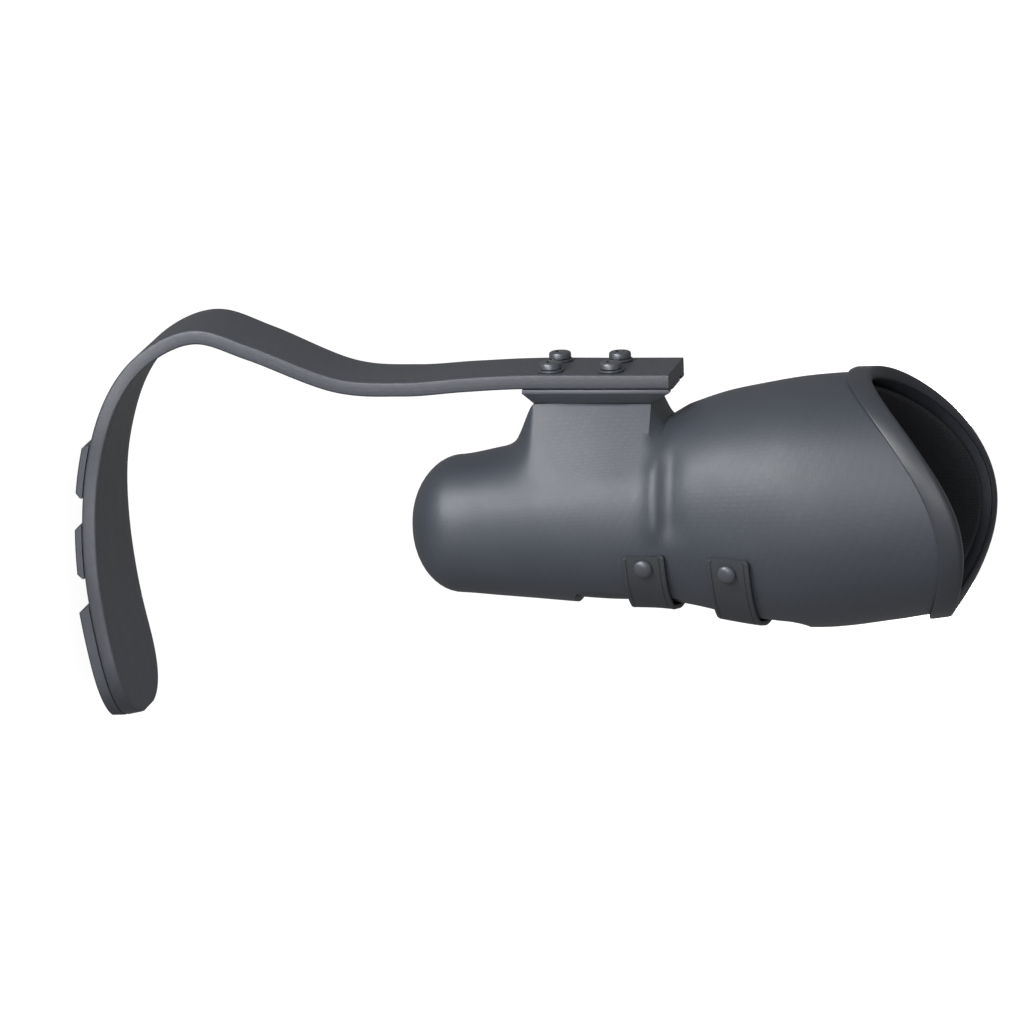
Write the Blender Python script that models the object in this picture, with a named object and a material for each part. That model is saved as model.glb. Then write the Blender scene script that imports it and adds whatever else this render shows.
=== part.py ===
"""Below-knee running leg: strapped socket with a rear boss, carbon blade, treads, liner and pin lock.

Lengths are millimetres and angles are degrees; add_mesh turns them into metres. X points to the
wearer's outer side, Y to the rear and Z up. Heights are measured from the ground and the origin is
SEAT_HEIGHT above it, on the shank's axis, where the limb sits. Angles round the socket start at the
rear and grow towards the inner side: inner 90, front 180, outer 270.
"""
import functools
import math

import bmesh
import bpy
from mathutils import Matrix, Vector

MM = 0.001
SEAT_HEIGHT = 440.0
GAP = 0.3

# Socket: height, front, rear and half width of the outer surface above its domed end.
SOCKET_STATIONS = (
    (215, -46.5, 30.5, 38), (236, -48, 34.5, 41), (258, -49.5, 39, 45), (277, -51, 43.5, 48),
    (301, -52.5, 48, 50.5), (329, -53, 50.5, 52), (345, -55.5, 59, 55), (366, -60, 66, 59.5),
    (388, -63.5, 70.5, 63.5), (409, -65, 74, 66.5), (431, -64.3, 76, 67.5), (464, -60, 77, 67.5),
    (485, -56.6, 77, 67), (512, -54, 77, 66.5))
SECTION_POWER = 2.15
DOME_HEIGHT = 28.5
WALL = 4.5
NECK_RELIEF = ((301, 0.0), (329, 2.6), (345, 0.0))
WAIST_RING = (332.0, 5.0, 2.6)
WAIST_GROOVE = (342.5, 5.5, -2.0)
WAIST_REACH = ((30, 0.0), (56, 1.0), (86, 1.0), (103, 0.0))

# Brim: rim height = level - swing * cos - saddle * cos squared, round the socket.
BRIM_LEVEL = 501.0
BRIM_SWING = 21.0
BRIM_SADDLE = 33.0
BRIM_START = 428.0
BRIM_BAND = ((11, 0.35), (-0.35, 0.35), (-0.35, -4.3), (-1.6, -4.3), (-2.5, -3.0),
             (-2.5, 1.2), (-1.2, 2.6), (9.4, 2.9), (11, 1.8))

# Rear boss and the rail on it.
BOSS_BOTTOM, BOSS_TOP, BOSS_NOTCH = 257.5, 327.5, 334.5
BOSS_FILLET, BOSS_POWER, BOSS_EASE = 21.0, 3.2, 0.8
BOSS_FACE = 63.9
BOSS_HALF_WIDTH = 17.3
RAIL_BOTTOM, RAIL_TOP = 256.0, 339.0
RAIL_FOOT = (261.0, 328.0)
RAIL_FACE = 73.0
RAIL_HALF_WIDTH = 24.0
RAIL_RIM = 2.0
# Bolts, nuts, rivets: play in their holes, and how the heads are turned.
BOLT_FOOT = 67.4
BLADE_HOLE_PLAY, BORE_PLAY, NUT_PLAY, RIVET_PLAY = 0.4, 0.3, 0.35, 0.35
HEAD_CHAMFER = 1.0
KEY_RADIUS, KEY_DEPTH = 2.9, 2.2
NUT_HALF_LENGTH = 5.5
RIVET_RIM, RIVET_DOME = 0.6, 2.6
# Blade corners and tread blocks.
BLADE_BEVEL = 1.0
BLADE_END_TRIM = 0.6
TREAD_TOE_TRIM = 2.0
TREAD_LIP = 1.6
TREAD_BEVEL = (1.2, 0.9)
TREAD_MIN_HALF = 3.0
# Straps: height off the shell, where they climb onto the patch, and the slit at the fold.
STRAP_SEAT = 0.4
STRAP_CLIMB = (12, 2)
FOLD_SLIT = 0.5
PATCH_MARGIN = 2.0
SLOT_WIDTH, SLOT_START = 6.8, 259.0
POCKET_WIDTH, POCKET_DEPTHS = 9.0, (66.6, 70.0)

# Front window, closed by a panel set back from the shell's face.
WINDOW_HALF_WIDTH = 35.0
WINDOW_BOTTOM, WINDOW_TOP = 281.0, 413.0
WINDOW_CORNER = 11.0
PANEL_SETBACK = 2.8

# Straps: height of the middle, then the angles of the fixed end, rivet, fold and free end.
STRAPS = {"lower": (326.0, 105.0, 111.5, 120.0, 262.0), "upper": (375.0, 106.5, 113.5, 122.0, 257.0)}
STRAP_WIDTH = 24.5
STRAP_THICK = 2.8
STRAP_LIFT = 1.4
STRAP_DIP = ((148, 0.0), (164, 2.2), (196, 2.2), (212, 0.0))
PATCH_SWEEP = 26.0
PATCH_THICK = 1.0
RIVET_HEAD, RIVET_SHANK = 5.3, 2.0

# Liner, and the pin lock on an axis that leans to the rear.
LINER_TIP = 234.5
LINER_DOME = 25.0
LINER_GAP = 0.6
LINER_EASE = ((375, 0.0), (405, 1.2), (420, 2.2), (455, 2.4), (485, 1.3), (505, 0.6))
LINER_THICK = 5.5
LINER_DROP = 5.0
LOCK_BASE = (0.0, -8.7, 197.5)
LOCK_LEAN = 6.0
PIN_BORE = 5.8
BUTTON_HEIGHT = 14.0
BUTTON_OUT = 43.4

# Blade: middle line as rear distance and height, from the top end down and round to the toe.
BLADE_PATH = ((77.4, 339), (77.4, 300), (77.4, 256), (75.8, 222), (73.6, 188), (76.4, 150), (95, 103.5),
              (104.6, 72), (92.2, 43), (67.3, 23.6), (29, 11.8), (-13, 8.9), (-58, 13), (-115.5, 24.6))
BLADE_WIDTHS = ((0, 48), (95, 48), (150, 51), (275, 61), (365, 75), (450, 86), (530, 90))
BLADE_THICK = 8.2
TOE_ROUND = 42.0
TOE_POWER = 2.6
TREADS = {"rear": (44, 14, 4.3), "mid": (0, -30, 4.3), "front": (-46, None, 6.5)}
TREAD_INSET = 0.4
TREAD_CHAMFER = 2.5
BOLT_HEIGHTS = (271.0, 305.0)
BOLT_HALF_SPACING = 14.0
BOLT_HEAD, BOLT_HEAD_HEIGHT, BOLT_SHANK = 6.2, 3.8, 3.0
WASHER_RADIUS, WASHER_THICK = 7.2, 1.2
FLEX_AXIS = (0.0, 105.0, 70.0)

COLOURS = {
    "shell": ((0.055, 0.062, 0.075), 0.42, 0.0), "trim": ((0.050, 0.055, 0.066), 0.55, 0.0),
    "carbon": ((0.048, 0.052, 0.062), 0.36, 0.0), "alloy": ((0.075, 0.082, 0.095), 0.38, 0.85),
    "steel": ((0.090, 0.096, 0.108), 0.35, 0.9), "strap": ((0.045, 0.050, 0.060), 0.70, 0.0),
    "tread": ((0.045, 0.049, 0.057), 0.75, 0.0), "gel": ((0.30, 0.31, 0.33), 0.55, 0.0),
    "hook": ((0.030, 0.032, 0.038), 0.90, 0.0), "plastic": ((0.040, 0.043, 0.050), 0.5, 0.0),
}


def material(name):
    """Return the Principled material of this finish, made on first use."""
    found = bpy.data.materials.get(name)
    if found:
        return found
    made = bpy.data.materials.new(name)
    made.use_nodes = True
    colour, roughness, metallic = COLOURS[name]
    shader = made.node_tree.nodes["Principled BSDF"]
    shader.inputs["Base Color"].default_value = (*colour, 1.0)
    shader.inputs["Roughness"].default_value = roughness
    shader.inputs["Metallic"].default_value = metallic
    return made


def place(point):
    """Turn a point in millimetres above the ground into the part's metres."""
    return Vector((point[0], point[1], point[2] - SEAT_HEIGHT)) * MM


def add_mesh(name, points, faces, finish, smooth=40.0):
    """Make an object from points in millimetres; outward faces are worked out here."""
    mesh = bpy.data.meshes.new(name)
    mesh.from_pydata([place(point) for point in points], [], faces)
    shape = bmesh.new()
    shape.from_mesh(mesh)
    bmesh.ops.remove_doubles(shape, verts=shape.verts, dist=0.00001)
    bmesh.ops.recalc_face_normals(shape, faces=shape.faces)
    shape.to_mesh(mesh)
    shape.free()
    mesh.shade_smooth()
    mesh.set_sharp_from_angle(angle=math.radians(smooth))
    piece = bpy.data.objects.new(name, mesh)
    mesh.materials.append(material(finish))
    bpy.context.collection.objects.link(piece)
    return piece


def add_empty(name, point, lean=0.0):
    """Make the empty that carries one moving body, on its joint's axis."""
    empty = bpy.data.objects.new(name, None)
    empty.location = place(point)
    empty.rotation_euler = (math.radians(-lean), 0.0, 0.0)
    bpy.context.collection.objects.link(empty)
    return empty


def carry(empty, pieces):
    """Parent pieces to a body's empty where they stand."""
    bpy.context.view_layer.update()
    for piece in pieces:
        piece.parent = empty
        piece.matrix_parent_inverse = empty.matrix_world.inverted()


def cut(piece, cutters):
    """Take the cutters away from a piece with live Boolean modifiers."""
    for cutter in cutters:
        cutter.hide_render = True
        cutter.display_type = "WIRE"
        modifier = piece.modifiers.new(cutter.name, "BOOLEAN")
        modifier.operation = "DIFFERENCE"
        modifier.solver = "EXACT"
        modifier.object = cutter


def read_curve(keys, x):
    """Read a value off straight lines between (x, value) keys."""
    if x <= keys[0][0]:
        return keys[0][1]
    for (x0, v0), (x1, v1) in zip(keys, keys[1:]):
        if x <= x1:
            return v0 + (v1 - v0) * (x - x0) / (x1 - x0)
    return keys[-1][1]


def spline(keys, t):
    """Catmull-Rom curve through tuples; t counts keys from 0."""
    last = len(keys) - 1
    i = min(int(t), last - 1)
    f = t - i
    a, b = keys[max(i - 1, 0)], keys[i]
    c, d = keys[i + 1], keys[min(i + 2, last)]
    return tuple(0.5 * (2 * q + (r - p) * f + (2 * p - 5 * q + 4 * r - s) * f * f
                        + (3 * q - p - 3 * r + s) * f ** 3) for p, q, r, s in zip(a, b, c, d))


def bump(z, centre, spread, height):
    """A rounded rise of this height round one level."""
    return height * math.exp(-((z - centre) / spread) ** 2)


# ---------------------------------------------------------------- socket surface

def socket_station(z):
    """Front, rear and half width of the socket at a level on or above the dome's top."""
    heights = [station[0] for station in SOCKET_STATIONS]
    z = min(max(z, heights[0]), heights[-1])
    i = max(k for k, height in enumerate(heights[:-1]) if height <= z)
    t = i + (z - heights[i]) / (heights[i + 1] - heights[i])
    return spline([station[1:] for station in SOCKET_STATIONS], t)


def section(z, inset=0.0, tip=None, dome=None):
    """Centre, rear half depth and half width of the surface moved in by inset at a level."""
    dome = DOME_HEIGHT - inset if dome is None else dome
    top = SOCKET_STATIONS[0][0] if tip is None else tip + dome
    front, rear, half = socket_station(max(z, top))
    if inset:
        rear += read_curve(NECK_RELIEF, z)
    shrink = math.sqrt(max(0.0, 1.0 - (max(top - z, 0.0) / dome) ** 2))
    centre = (front + rear) / 2
    return centre, ((rear - front) / 2 - inset) * shrink, (half - inset) * shrink


def radius(angle, depth, width):
    """Polar radius of the rounded section."""
    side = abs(math.sin(math.radians(angle))) / max(width, 1e-6)
    rear = abs(math.cos(math.radians(angle))) / max(depth, 1e-6)
    return (side ** SECTION_POWER + rear ** SECTION_POWER) ** (-1 / SECTION_POWER)


def socket_point(angle, z, offset=0.0):
    """A point on the plain outer surface of the socket, without the boss."""
    centre, depth, width = section(z)
    reach = radius(angle, depth, width) + offset
    turn = math.radians(angle)
    return -reach * math.sin(turn), centre + reach * math.cos(turn), z


@functools.lru_cache(maxsize=None)
def web_line(z):
    """Slope of the flat web from the boss's edge to where it meets the socket, and that angle."""
    centre, depth, width = section(z)
    best = (0.0, 0.0)
    for k in range(40, 180):
        turn = math.radians(k / 2)
        reach = radius(k / 2, depth, width)
        rise = BOSS_FACE - centre - reach * math.cos(turn)
        best = max(best, ((reach * math.sin(turn) - BOSS_HALF_WIDTH) / rise, k / 2))
    return best


def web_radius(angle, z):
    """Polar radius of the boss and of the flat webs that run from it to the socket's sides."""
    centre, depth, width = section(z)
    plain = radius(angle, depth, width)
    slope, meeting = web_line(z)
    from_rear = min(angle, 360 - angle)
    if from_rear >= meeting:
        return plain
    turn = math.radians(from_rear)
    face = BOSS_FACE - centre
    side = (BOSS_HALF_WIDTH + slope * face) / (math.sin(turn) + slope * math.cos(turn))
    return max(plain, min(side, face / math.cos(turn)))


def boss_share(z):
    """How much of the boss stands at a level: a long fillet below, a leaning wall above."""
    rise = max(0.0, 1.0 + (z - BOSS_BOTTOM) / BOSS_FILLET) ** BOSS_POWER
    near = max(BOSS_EASE - abs(1.0 - rise), 0.0) / BOSS_EASE
    wall = read_curve(((BOSS_TOP, 1.0), (BOSS_NOTCH, 0.0)), z)
    return min(wall, 1.0, rise) - near * near * BOSS_EASE / 4


def shell_point(angle, z):
    """A point on the shell's outer surface with its boss, ring and groove."""
    centre, depth, width = section(z)
    plain = radius(angle, depth, width)
    reach = plain + (web_radius(angle, z) - plain) * boss_share(z)
    side_share = read_curve(WAIST_REACH, min(angle, 360 - angle))
    reach += (bump(z, *WAIST_RING) + bump(z, *WAIST_GROOVE)) * side_share
    turn = math.radians(angle)
    return -reach * math.sin(turn), centre + reach * math.cos(turn), z


def inner_point(angle, z, inset, tip=None, dome=None):
    """A point on a surface that lies inset inside the shell's outer one."""
    centre, depth, width = section(z, inset, tip, dome)
    reach = radius(angle, depth, width)
    turn = math.radians(angle)
    return -reach * math.sin(turn), centre + reach * math.cos(turn), z


def rim_height(angle):
    """Height of the brim at an angle."""
    c = math.cos(math.radians(angle))
    return BRIM_LEVEL - BRIM_SWING * c - BRIM_SADDLE * c * c


def round_angles():
    """Angles round the socket, closer together at the boss."""
    half = (0, 15, 20, 27, 36, 46, 57, 69, 82, 96, 110, 124, 138, 152, 166, 180)
    return half + tuple(360 - angle for angle in half[-2:0:-1])


def cup(name, outside, inside, finish):
    """Close a cup from rings of points: outside from its tip to the rim, inside back to its tip."""
    rings = outside + inside[::-1]
    count = len(rings[0])
    points = [point for ring in rings for point in ring]
    faces = []
    for i in range(len(rings) - 1):
        for k in range(count):
            n = (k + 1) % count
            faces.append((i * count + k, i * count + n, (i + 1) * count + n, (i + 1) * count + k))
    faces.append(tuple(range(count)))
    faces.append(tuple(range((len(rings) - 1) * count, len(rings) * count)))
    return add_mesh(name, points, faces, finish)


def dome_levels(tip, height, steps):
    """Levels of a dome's rings, even in angle, without the very tip."""
    return [tip + height * (1 - math.cos(math.radians(90 * k / steps))) for k in range(1, steps)]


def socket_rings(point, levels, rows, drop=0.0):
    """Rings at fixed levels, then rows that fan out to the brim."""
    angles = round_angles()
    rings = [[point(angle, z) for angle in angles] for z in levels]
    for row in range(1, rows + 1):
        share = row / rows
        rings.append([point(angle, BRIM_START + (rim_height(angle) - drop - BRIM_START) * share)
                      for angle in angles])
    return rings


# ---------------------------------------------------------------- small builders

def turned(name, profile, sides, origin, axis, finish, closed=False, smooth=40.0):
    """Turn (radius, height) points round an axis; a closed profile makes a ring."""
    turn = Vector((0, 0, 1)).rotation_difference(Vector(axis)).to_matrix().to_4x4()
    frame = Matrix.Translation(Vector(origin)) @ turn
    points, rings = [], []
    for reach, height in profile:
        count = sides if reach > 0 else 1
        rings.append(list(range(len(points), len(points) + count)))
        for k in range(count):
            angle = math.tau * k / count
            points.append(frame @ Vector((reach * math.cos(angle), reach * math.sin(angle), height)))
    faces = []
    pairs = list(zip(rings, rings[1:])) + ([(rings[-1], rings[0])] if closed else [])
    for low, high in pairs:
        for k in range(sides):
            n = (k + 1) % sides
            corners = (low[k % len(low)], low[n % len(low)], high[n % len(high)], high[k % len(high)])
            faces.append(tuple(dict.fromkeys(corners)))
    return add_mesh(name, points, faces, finish, smooth)


def prism(name, outline, start, end, finish):
    """Extrude an (x, y) outline in height."""
    count = len(outline)
    points = [(x, y, z) for z in (start, end) for x, y in outline]
    faces = [(k, (k + 1) % count, count + (k + 1) % count, count + k) for k in range(count)]
    faces += [tuple(range(count)), tuple(range(count, 2 * count))]
    return add_mesh(name, points, faces, finish)


def swept(name, sections, finish, smooth=40.0):
    """Close a solid from sections with equal numbers of points."""
    count = len(sections[0])
    points = [point for ring in sections for point in ring]
    faces = []
    for i in range(len(sections) - 1):
        for k in range(count):
            n = (k + 1) % count
            faces.append((i * count + k, i * count + n, (i + 1) * count + n, (i + 1) * count + k))
    faces += [tuple(range(count)), tuple(range(len(points) - count, len(points)))]
    return add_mesh(name, points, faces, finish, smooth)


def steps(start, end, count):
    """Evenly spaced values from start to end."""
    return [start + (end - start) * k / (count - 1) for k in range(count)]


# ---------------------------------------------------------------- socket pieces

def build_shell():
    """The laminated socket: cup, boss and webs in one wall, with its window and holes."""
    levels = dome_levels(SOCKET_STATIONS[0][0] - DOME_HEIGHT, DOME_HEIGHT, 6)
    levels += [215, 225, 236, 243, 249, 252.5, 255.5, 258, 260.5, 263.5, 272, 286, 300, 313, 321,
               BOSS_TOP, BOSS_NOTCH, 337.5, 341, 345, 354, 364, 375, 388, 400, 413, BRIM_START]
    outside = socket_rings(shell_point, levels, 4)
    tip = SOCKET_STATIONS[0][0] - DOME_HEIGHT + WALL
    inner_levels = dome_levels(tip, DOME_HEIGHT - WALL, 5)
    inner_levels += [215, 236, 258, 277, 301, 315, 329, 337, 345, 366, 388, 409, BRIM_START]
    inside = socket_rings(lambda angle, z: inner_point(angle, z, WALL), inner_levels, 3)
    shell = cup("socket_shell", outside, inside, "shell")
    cut(shell, [window_cutter(), button_cutter()] + [rivet_cutter(side) for side in STRAPS])
    return shell


def window_cutter():
    """The window's rounded outline, through the front wall."""
    outline = []
    for corner in range(4):
        sx, sz = ((1, 1), (-1, 1), (-1, -1), (1, -1))[corner]
        cx = sx * (WINDOW_HALF_WIDTH - WINDOW_CORNER)
        cz = (WINDOW_TOP - WINDOW_CORNER) if sz > 0 else (WINDOW_BOTTOM + WINDOW_CORNER)
        for k in range(5):
            turn = math.radians(90 * corner + 22.5 * k)
            outline.append((cx + WINDOW_CORNER * math.cos(turn), cz + WINDOW_CORNER * math.sin(turn)))
    sections = [[(x, y, z) for x, z in outline] for y in (-90, -20)]
    return swept("window_cutter", sections, "plastic")


def panel_point(x, z, inset):
    """A point of the front panel's face at a side distance and level."""
    centre, depth, width = section(z)
    depth, width = depth - inset, width - inset
    return x, centre - depth * (1 - abs(x / width) ** SECTION_POWER) ** (1 / SECTION_POWER), z


def build_panel():
    """The panel that fills the window, with the window's round corners."""
    edge = WINDOW_HALF_WIDTH - 0.5
    corner = WINDOW_CORNER - 0.5
    sections = []
    low, high = WINDOW_BOTTOM + 0.5, WINDOW_TOP - 0.5
    ends = [corner * (1 - math.cos(math.radians(a))) for a in (0, 30, 60)]
    levels = [low + e for e in ends] + steps(low + corner, high - corner, 9) + [high - e for e in ends[::-1]]
    for z in levels:
        near = min(z - low, high - z, corner)
        half = edge - corner + math.sqrt(max(0.0, corner ** 2 - (corner - near) ** 2))
        across = [half * k / 4 for k in range(-4, 5)]
        sections.append([panel_point(x, z, PANEL_SETBACK) for x in across]
                        + [panel_point(x, z, WALL) for x in across[::-1]])
    return swept("front_panel", sections, "trim")


def build_brim():
    """The rounded band over the socket's rim."""
    sections = [[socket_point(angle, rim_height(angle) - drop, out) for drop, out in BRIM_BAND]
                for angle in round_angles()]
    count = len(BRIM_BAND)
    points = [point for ring in sections for point in ring]
    faces = []
    for i in range(len(sections)):
        m = (i + 1) % len(sections)
        for k in range(count):
            n = (k + 1) % count
            faces.append((i * count + k, i * count + n, m * count + n, m * count + k))
    return add_mesh("brim_band", points, faces, "trim")


def build_rail():
    """The rail on the boss: bevelled underside and two T-slots open at the top."""
    layers = ((BOSS_FACE + GAP, BOSS_HALF_WIDTH, *RAIL_FOOT),
              (RAIL_FACE - RAIL_RIM, RAIL_HALF_WIDTH, RAIL_BOTTOM, RAIL_TOP),
              (RAIL_FACE, RAIL_HALF_WIDTH, RAIL_BOTTOM, RAIL_TOP))
    rail = swept("mount_rail", [[(-half, y, low), (half, y, low), (half, y, high), (-half, y, high)]
                                for y, half, low, high in layers], "alloy")
    cutters = []
    for side in (-1, 1):
        x = side * BOLT_HALF_SPACING
        slot, pocket = SLOT_WIDTH / 2, POCKET_WIDTH / 2
        inner, ledge = POCKET_DEPTHS
        shape = [(x - pocket, inner), (x + pocket, inner), (x + pocket, ledge), (x + slot, ledge),
                 (x + slot, RAIL_FACE + 2), (x - slot, RAIL_FACE + 2), (x - slot, ledge),
                 (x - pocket, ledge)]
        cutters.append(prism(f"slot_cutter_{side}", shape, SLOT_START, RAIL_TOP + 5, "plastic"))
    cut(rail, cutters)
    return rail


# ---------------------------------------------------------------- blade

def blade_line():
    """Points down the blade's middle line, close together, with their distance from the top."""
    fine = [spline(BLADE_PATH, (len(BLADE_PATH) - 1) * k / 400) for k in range(401)]
    run = [0.0]
    for a, b in zip(fine, fine[1:]):
        run.append(run[-1] + math.dist(a, b))
    return fine, run


def blade_frame(line, distance):
    """Middle point and outward direction (away from the socket) at a distance down the blade."""
    fine, run = line
    i = max(k for k in range(len(run) - 1) if run[k] <= max(distance, 0.0))
    f = (distance - run[i]) / (run[i + 1] - run[i])
    (y0, z0), (y1, z1) = fine[i], fine[i + 1]
    ahead, behind = fine[min(i + 3, len(fine) - 1)], fine[max(i - 2, 0)]
    along = Vector((ahead[0] - behind[0], ahead[1] - behind[1])).normalized()
    return y0 + (y1 - y0) * f, z0 + (z1 - z0) * f, Vector((-along[1], along[0]))


def blade_half_width(line, distance):
    """Half width at a distance down the blade, with the toe's rounded end."""
    length = line[1][-1]
    half = read_curve(BLADE_WIDTHS, distance) / 2
    into = max(0.0, (distance - (length - TOE_ROUND)) / TOE_ROUND)
    return half * max(0.0, 1 - into ** TOE_POWER) ** (1 / TOE_POWER)


def blade_section(line, distance, half, inner, outer, chamfer):
    """One closed section across the blade between two depths, with bevelled corners."""
    y, z, out = blade_frame(line, distance)
    half = max(half, 2 * chamfer + 1)
    outline = [(-half, inner + chamfer), (-half + chamfer, inner), (half - chamfer, inner),
               (half, inner + chamfer), (half, outer - chamfer), (half - chamfer, outer),
               (-half + chamfer, outer), (-half, outer - chamfer)]
    return [(x, y + out[0] * depth, z + out[1] * depth) for x, depth in outline]


def toe_stations(start, end, length, even):
    """Distances along the blade, closer together where the toe rounds off."""
    straight_end = min(end, length - TOE_ROUND)
    count = max(2, round((straight_end - start) / even) + 1)
    stations = steps(start, straight_end, count)
    if end > straight_end:
        reach = (end - straight_end) / TOE_ROUND
        stations += [straight_end + TOE_ROUND * reach * math.sin(math.radians(a)) for a in
                     (18, 35, 50, 63, 74, 83, 90)]
    return stations


def build_blade(line):
    """The carbon blade in one piece, with four bolt holes."""
    length = line[1][-1]
    half_thick = BLADE_THICK / 2
    sections = [blade_section(line, d, blade_half_width(line, d), -half_thick, half_thick, BLADE_BEVEL)
                for d in toe_stations(0.0, length - BLADE_END_TRIM, length, 12.0)]
    blade = swept("blade", sections, "carbon")
    cutters = []
    for i, (x, z) in enumerate(bolt_places()):
        ends = (RAIL_FACE - 4, RAIL_FACE + BLADE_THICK + 8)
        bore = BOLT_SHANK + BLADE_HOLE_PLAY
        profile = [(0, ends[0]), (bore, ends[0]), (bore, ends[1]), (0, ends[1])]
        cutters.append(turned(f"bolt_cutter_{i}", profile, 12, (x, 0, z), (0, 1, 0), "plastic"))
    cut(blade, cutters)
    return blade


def distance_at_rear(line, rear):
    """Distance down the blade where its lower run passes a rear distance."""
    fine, run = line
    turn = max(range(len(fine)), key=lambda k: fine[k][0])
    return next(run[k] for k in range(turn, len(fine)) if fine[k][0] <= rear)


def build_tread(line, name, rear_end, front_end, thick):
    """One rubber block under the blade, chamfered at its ends."""
    length = line[1][-1]
    start = distance_at_rear(line, rear_end)
    end = length - TREAD_TOE_TRIM if front_end is None else distance_at_rear(line, front_end)
    near = BLADE_THICK / 2 + GAP
    depth = near + thick - GAP
    bevel, rise = TREAD_BEVEL
    stations = [start] + toe_stations(start + TREAD_CHAMFER, end - TREAD_CHAMFER, length, 10.0) + [end]
    sections = []
    for i, d in enumerate(stations):
        low = near + TREAD_LIP if i in (0, len(stations) - 1) else depth
        half = max(blade_half_width(line, d) - TREAD_INSET, TREAD_MIN_HALF)
        y, z, out = blade_frame(line, d)
        outline = [(-half, near), (half, near), (half, low - rise), (half - bevel, low),
                   (-half + bevel, low), (-half, low - rise)]
        sections.append([(x, y + out[0] * deep, z + out[1] * deep) for x, deep in outline])
    return swept(f"tread_{name}", sections, "tread")


def bolt_places():
    """Side distance and height of each of the four blade bolts."""
    return [(side * BOLT_HALF_SPACING, z) for z in BOLT_HEIGHTS for side in (-1, 1)]


def build_fasteners():
    """Bolt, washer and T-nut at each of the four places."""
    pieces = []
    bore = BOLT_SHANK + BORE_PLAY
    seat = RAIL_FACE + GAP + BLADE_THICK + GAP
    head = seat + WASHER_THICK + GAP
    for i, (x, z) in enumerate(bolt_places(), start=1):
        r, top = BOLT_HEAD, head + BOLT_HEAD_HEIGHT
        bolt = [(0, BOLT_FOOT), (BOLT_SHANK, BOLT_FOOT), (BOLT_SHANK, head), (r, head),
                (r, top - HEAD_CHAMFER), (r - HEAD_CHAMFER, top), (KEY_RADIUS, top),
                (KEY_RADIUS, top - KEY_DEPTH), (0, top - KEY_DEPTH)]
        pieces.append(turned(f"blade_bolt_{i}", bolt, 16, (x, 0, z), (0, 1, 0), "steel"))
        ring = [(bore, seat), (WASHER_RADIUS, seat),
                (WASHER_RADIUS, seat + WASHER_THICK), (bore, seat + WASHER_THICK)]
        pieces.append(turned(f"blade_washer_{i}", ring, 16, (x, 0, z), (0, 1, 0), "steel", closed=True))
        pieces.append(build_nut(f"rail_nut_{i}", x, z))
    return pieces


def build_nut(name, x, z):
    """A T-nut that slides in the rail's pocket."""
    half = POCKET_WIDTH / 2 - NUT_PLAY
    low, high = POCKET_DEPTHS[0] + NUT_PLAY, POCKET_DEPTHS[1] - NUT_PLAY
    bore = BOLT_SHANK + BORE_PLAY
    outline = [(x - half, low), (x + half, low), (x + half, high), (x - half, high)]
    nut = prism(name, outline, z - NUT_HALF_LENGTH, z + NUT_HALF_LENGTH, "steel")
    hole = [(0, low - 3), (bore, low - 3), (bore, high + 3), (0, high + 3)]
    cut(nut, [turned(f"{name}_cutter", hole, 12, (x, 0, z), (0, 1, 0), "plastic")])
    return nut


# ---------------------------------------------------------------- straps

def strap_gap(angle, free):
    """Height of a strap's underside off the shell: it dips over the panel and climbs onto the patch."""
    start, end = STRAP_CLIMB
    climb = read_curve(((free - PATCH_SWEEP - start, 0.0), (free - PATCH_SWEEP - end, 1.0)), angle)
    return STRAP_SEAT + STRAP_LIFT * climb - read_curve(STRAP_DIP, angle)


def band(name, middle, angles, under, thick, finish, width=STRAP_WIDTH):
    """A flat strip bent round the socket between two angles."""
    sections = []
    for angle in angles:
        gap = under(angle)
        low, high = middle - width / 2, middle + width / 2
        sections.append([socket_point(angle, z, gap) for z in (low, middle, high)]
                        + [socket_point(angle, z, gap + thick) for z in (high, middle, low)])
    return swept(name, sections, finish)


def outward(angle, z):
    """Point on the socket's surface and the direction away from its middle line there."""
    here = Vector(socket_point(angle, z))
    round_way = Vector(socket_point(angle + 1, z)) - Vector(socket_point(angle - 1, z))
    up_way = Vector(socket_point(angle, z + 1)) - Vector(socket_point(angle, z - 1))
    way = up_way.cross(round_way).normalized()
    middle = Vector((0, section(z)[0], z))
    return here, way if way.dot(here - middle) > 0 else -way


def rivet_cutter(side):
    """The hole for one strap rivet through the shell."""
    z, _, angle, _, _ = STRAPS[side]
    here, way = outward(angle, z)
    r = RIVET_SHANK + RIVET_PLAY
    return turned(f"rivet_cutter_{side}", [(0, -12), (r, -12), (r, 12), (0, 12)], 10, here, way, "plastic")


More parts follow.
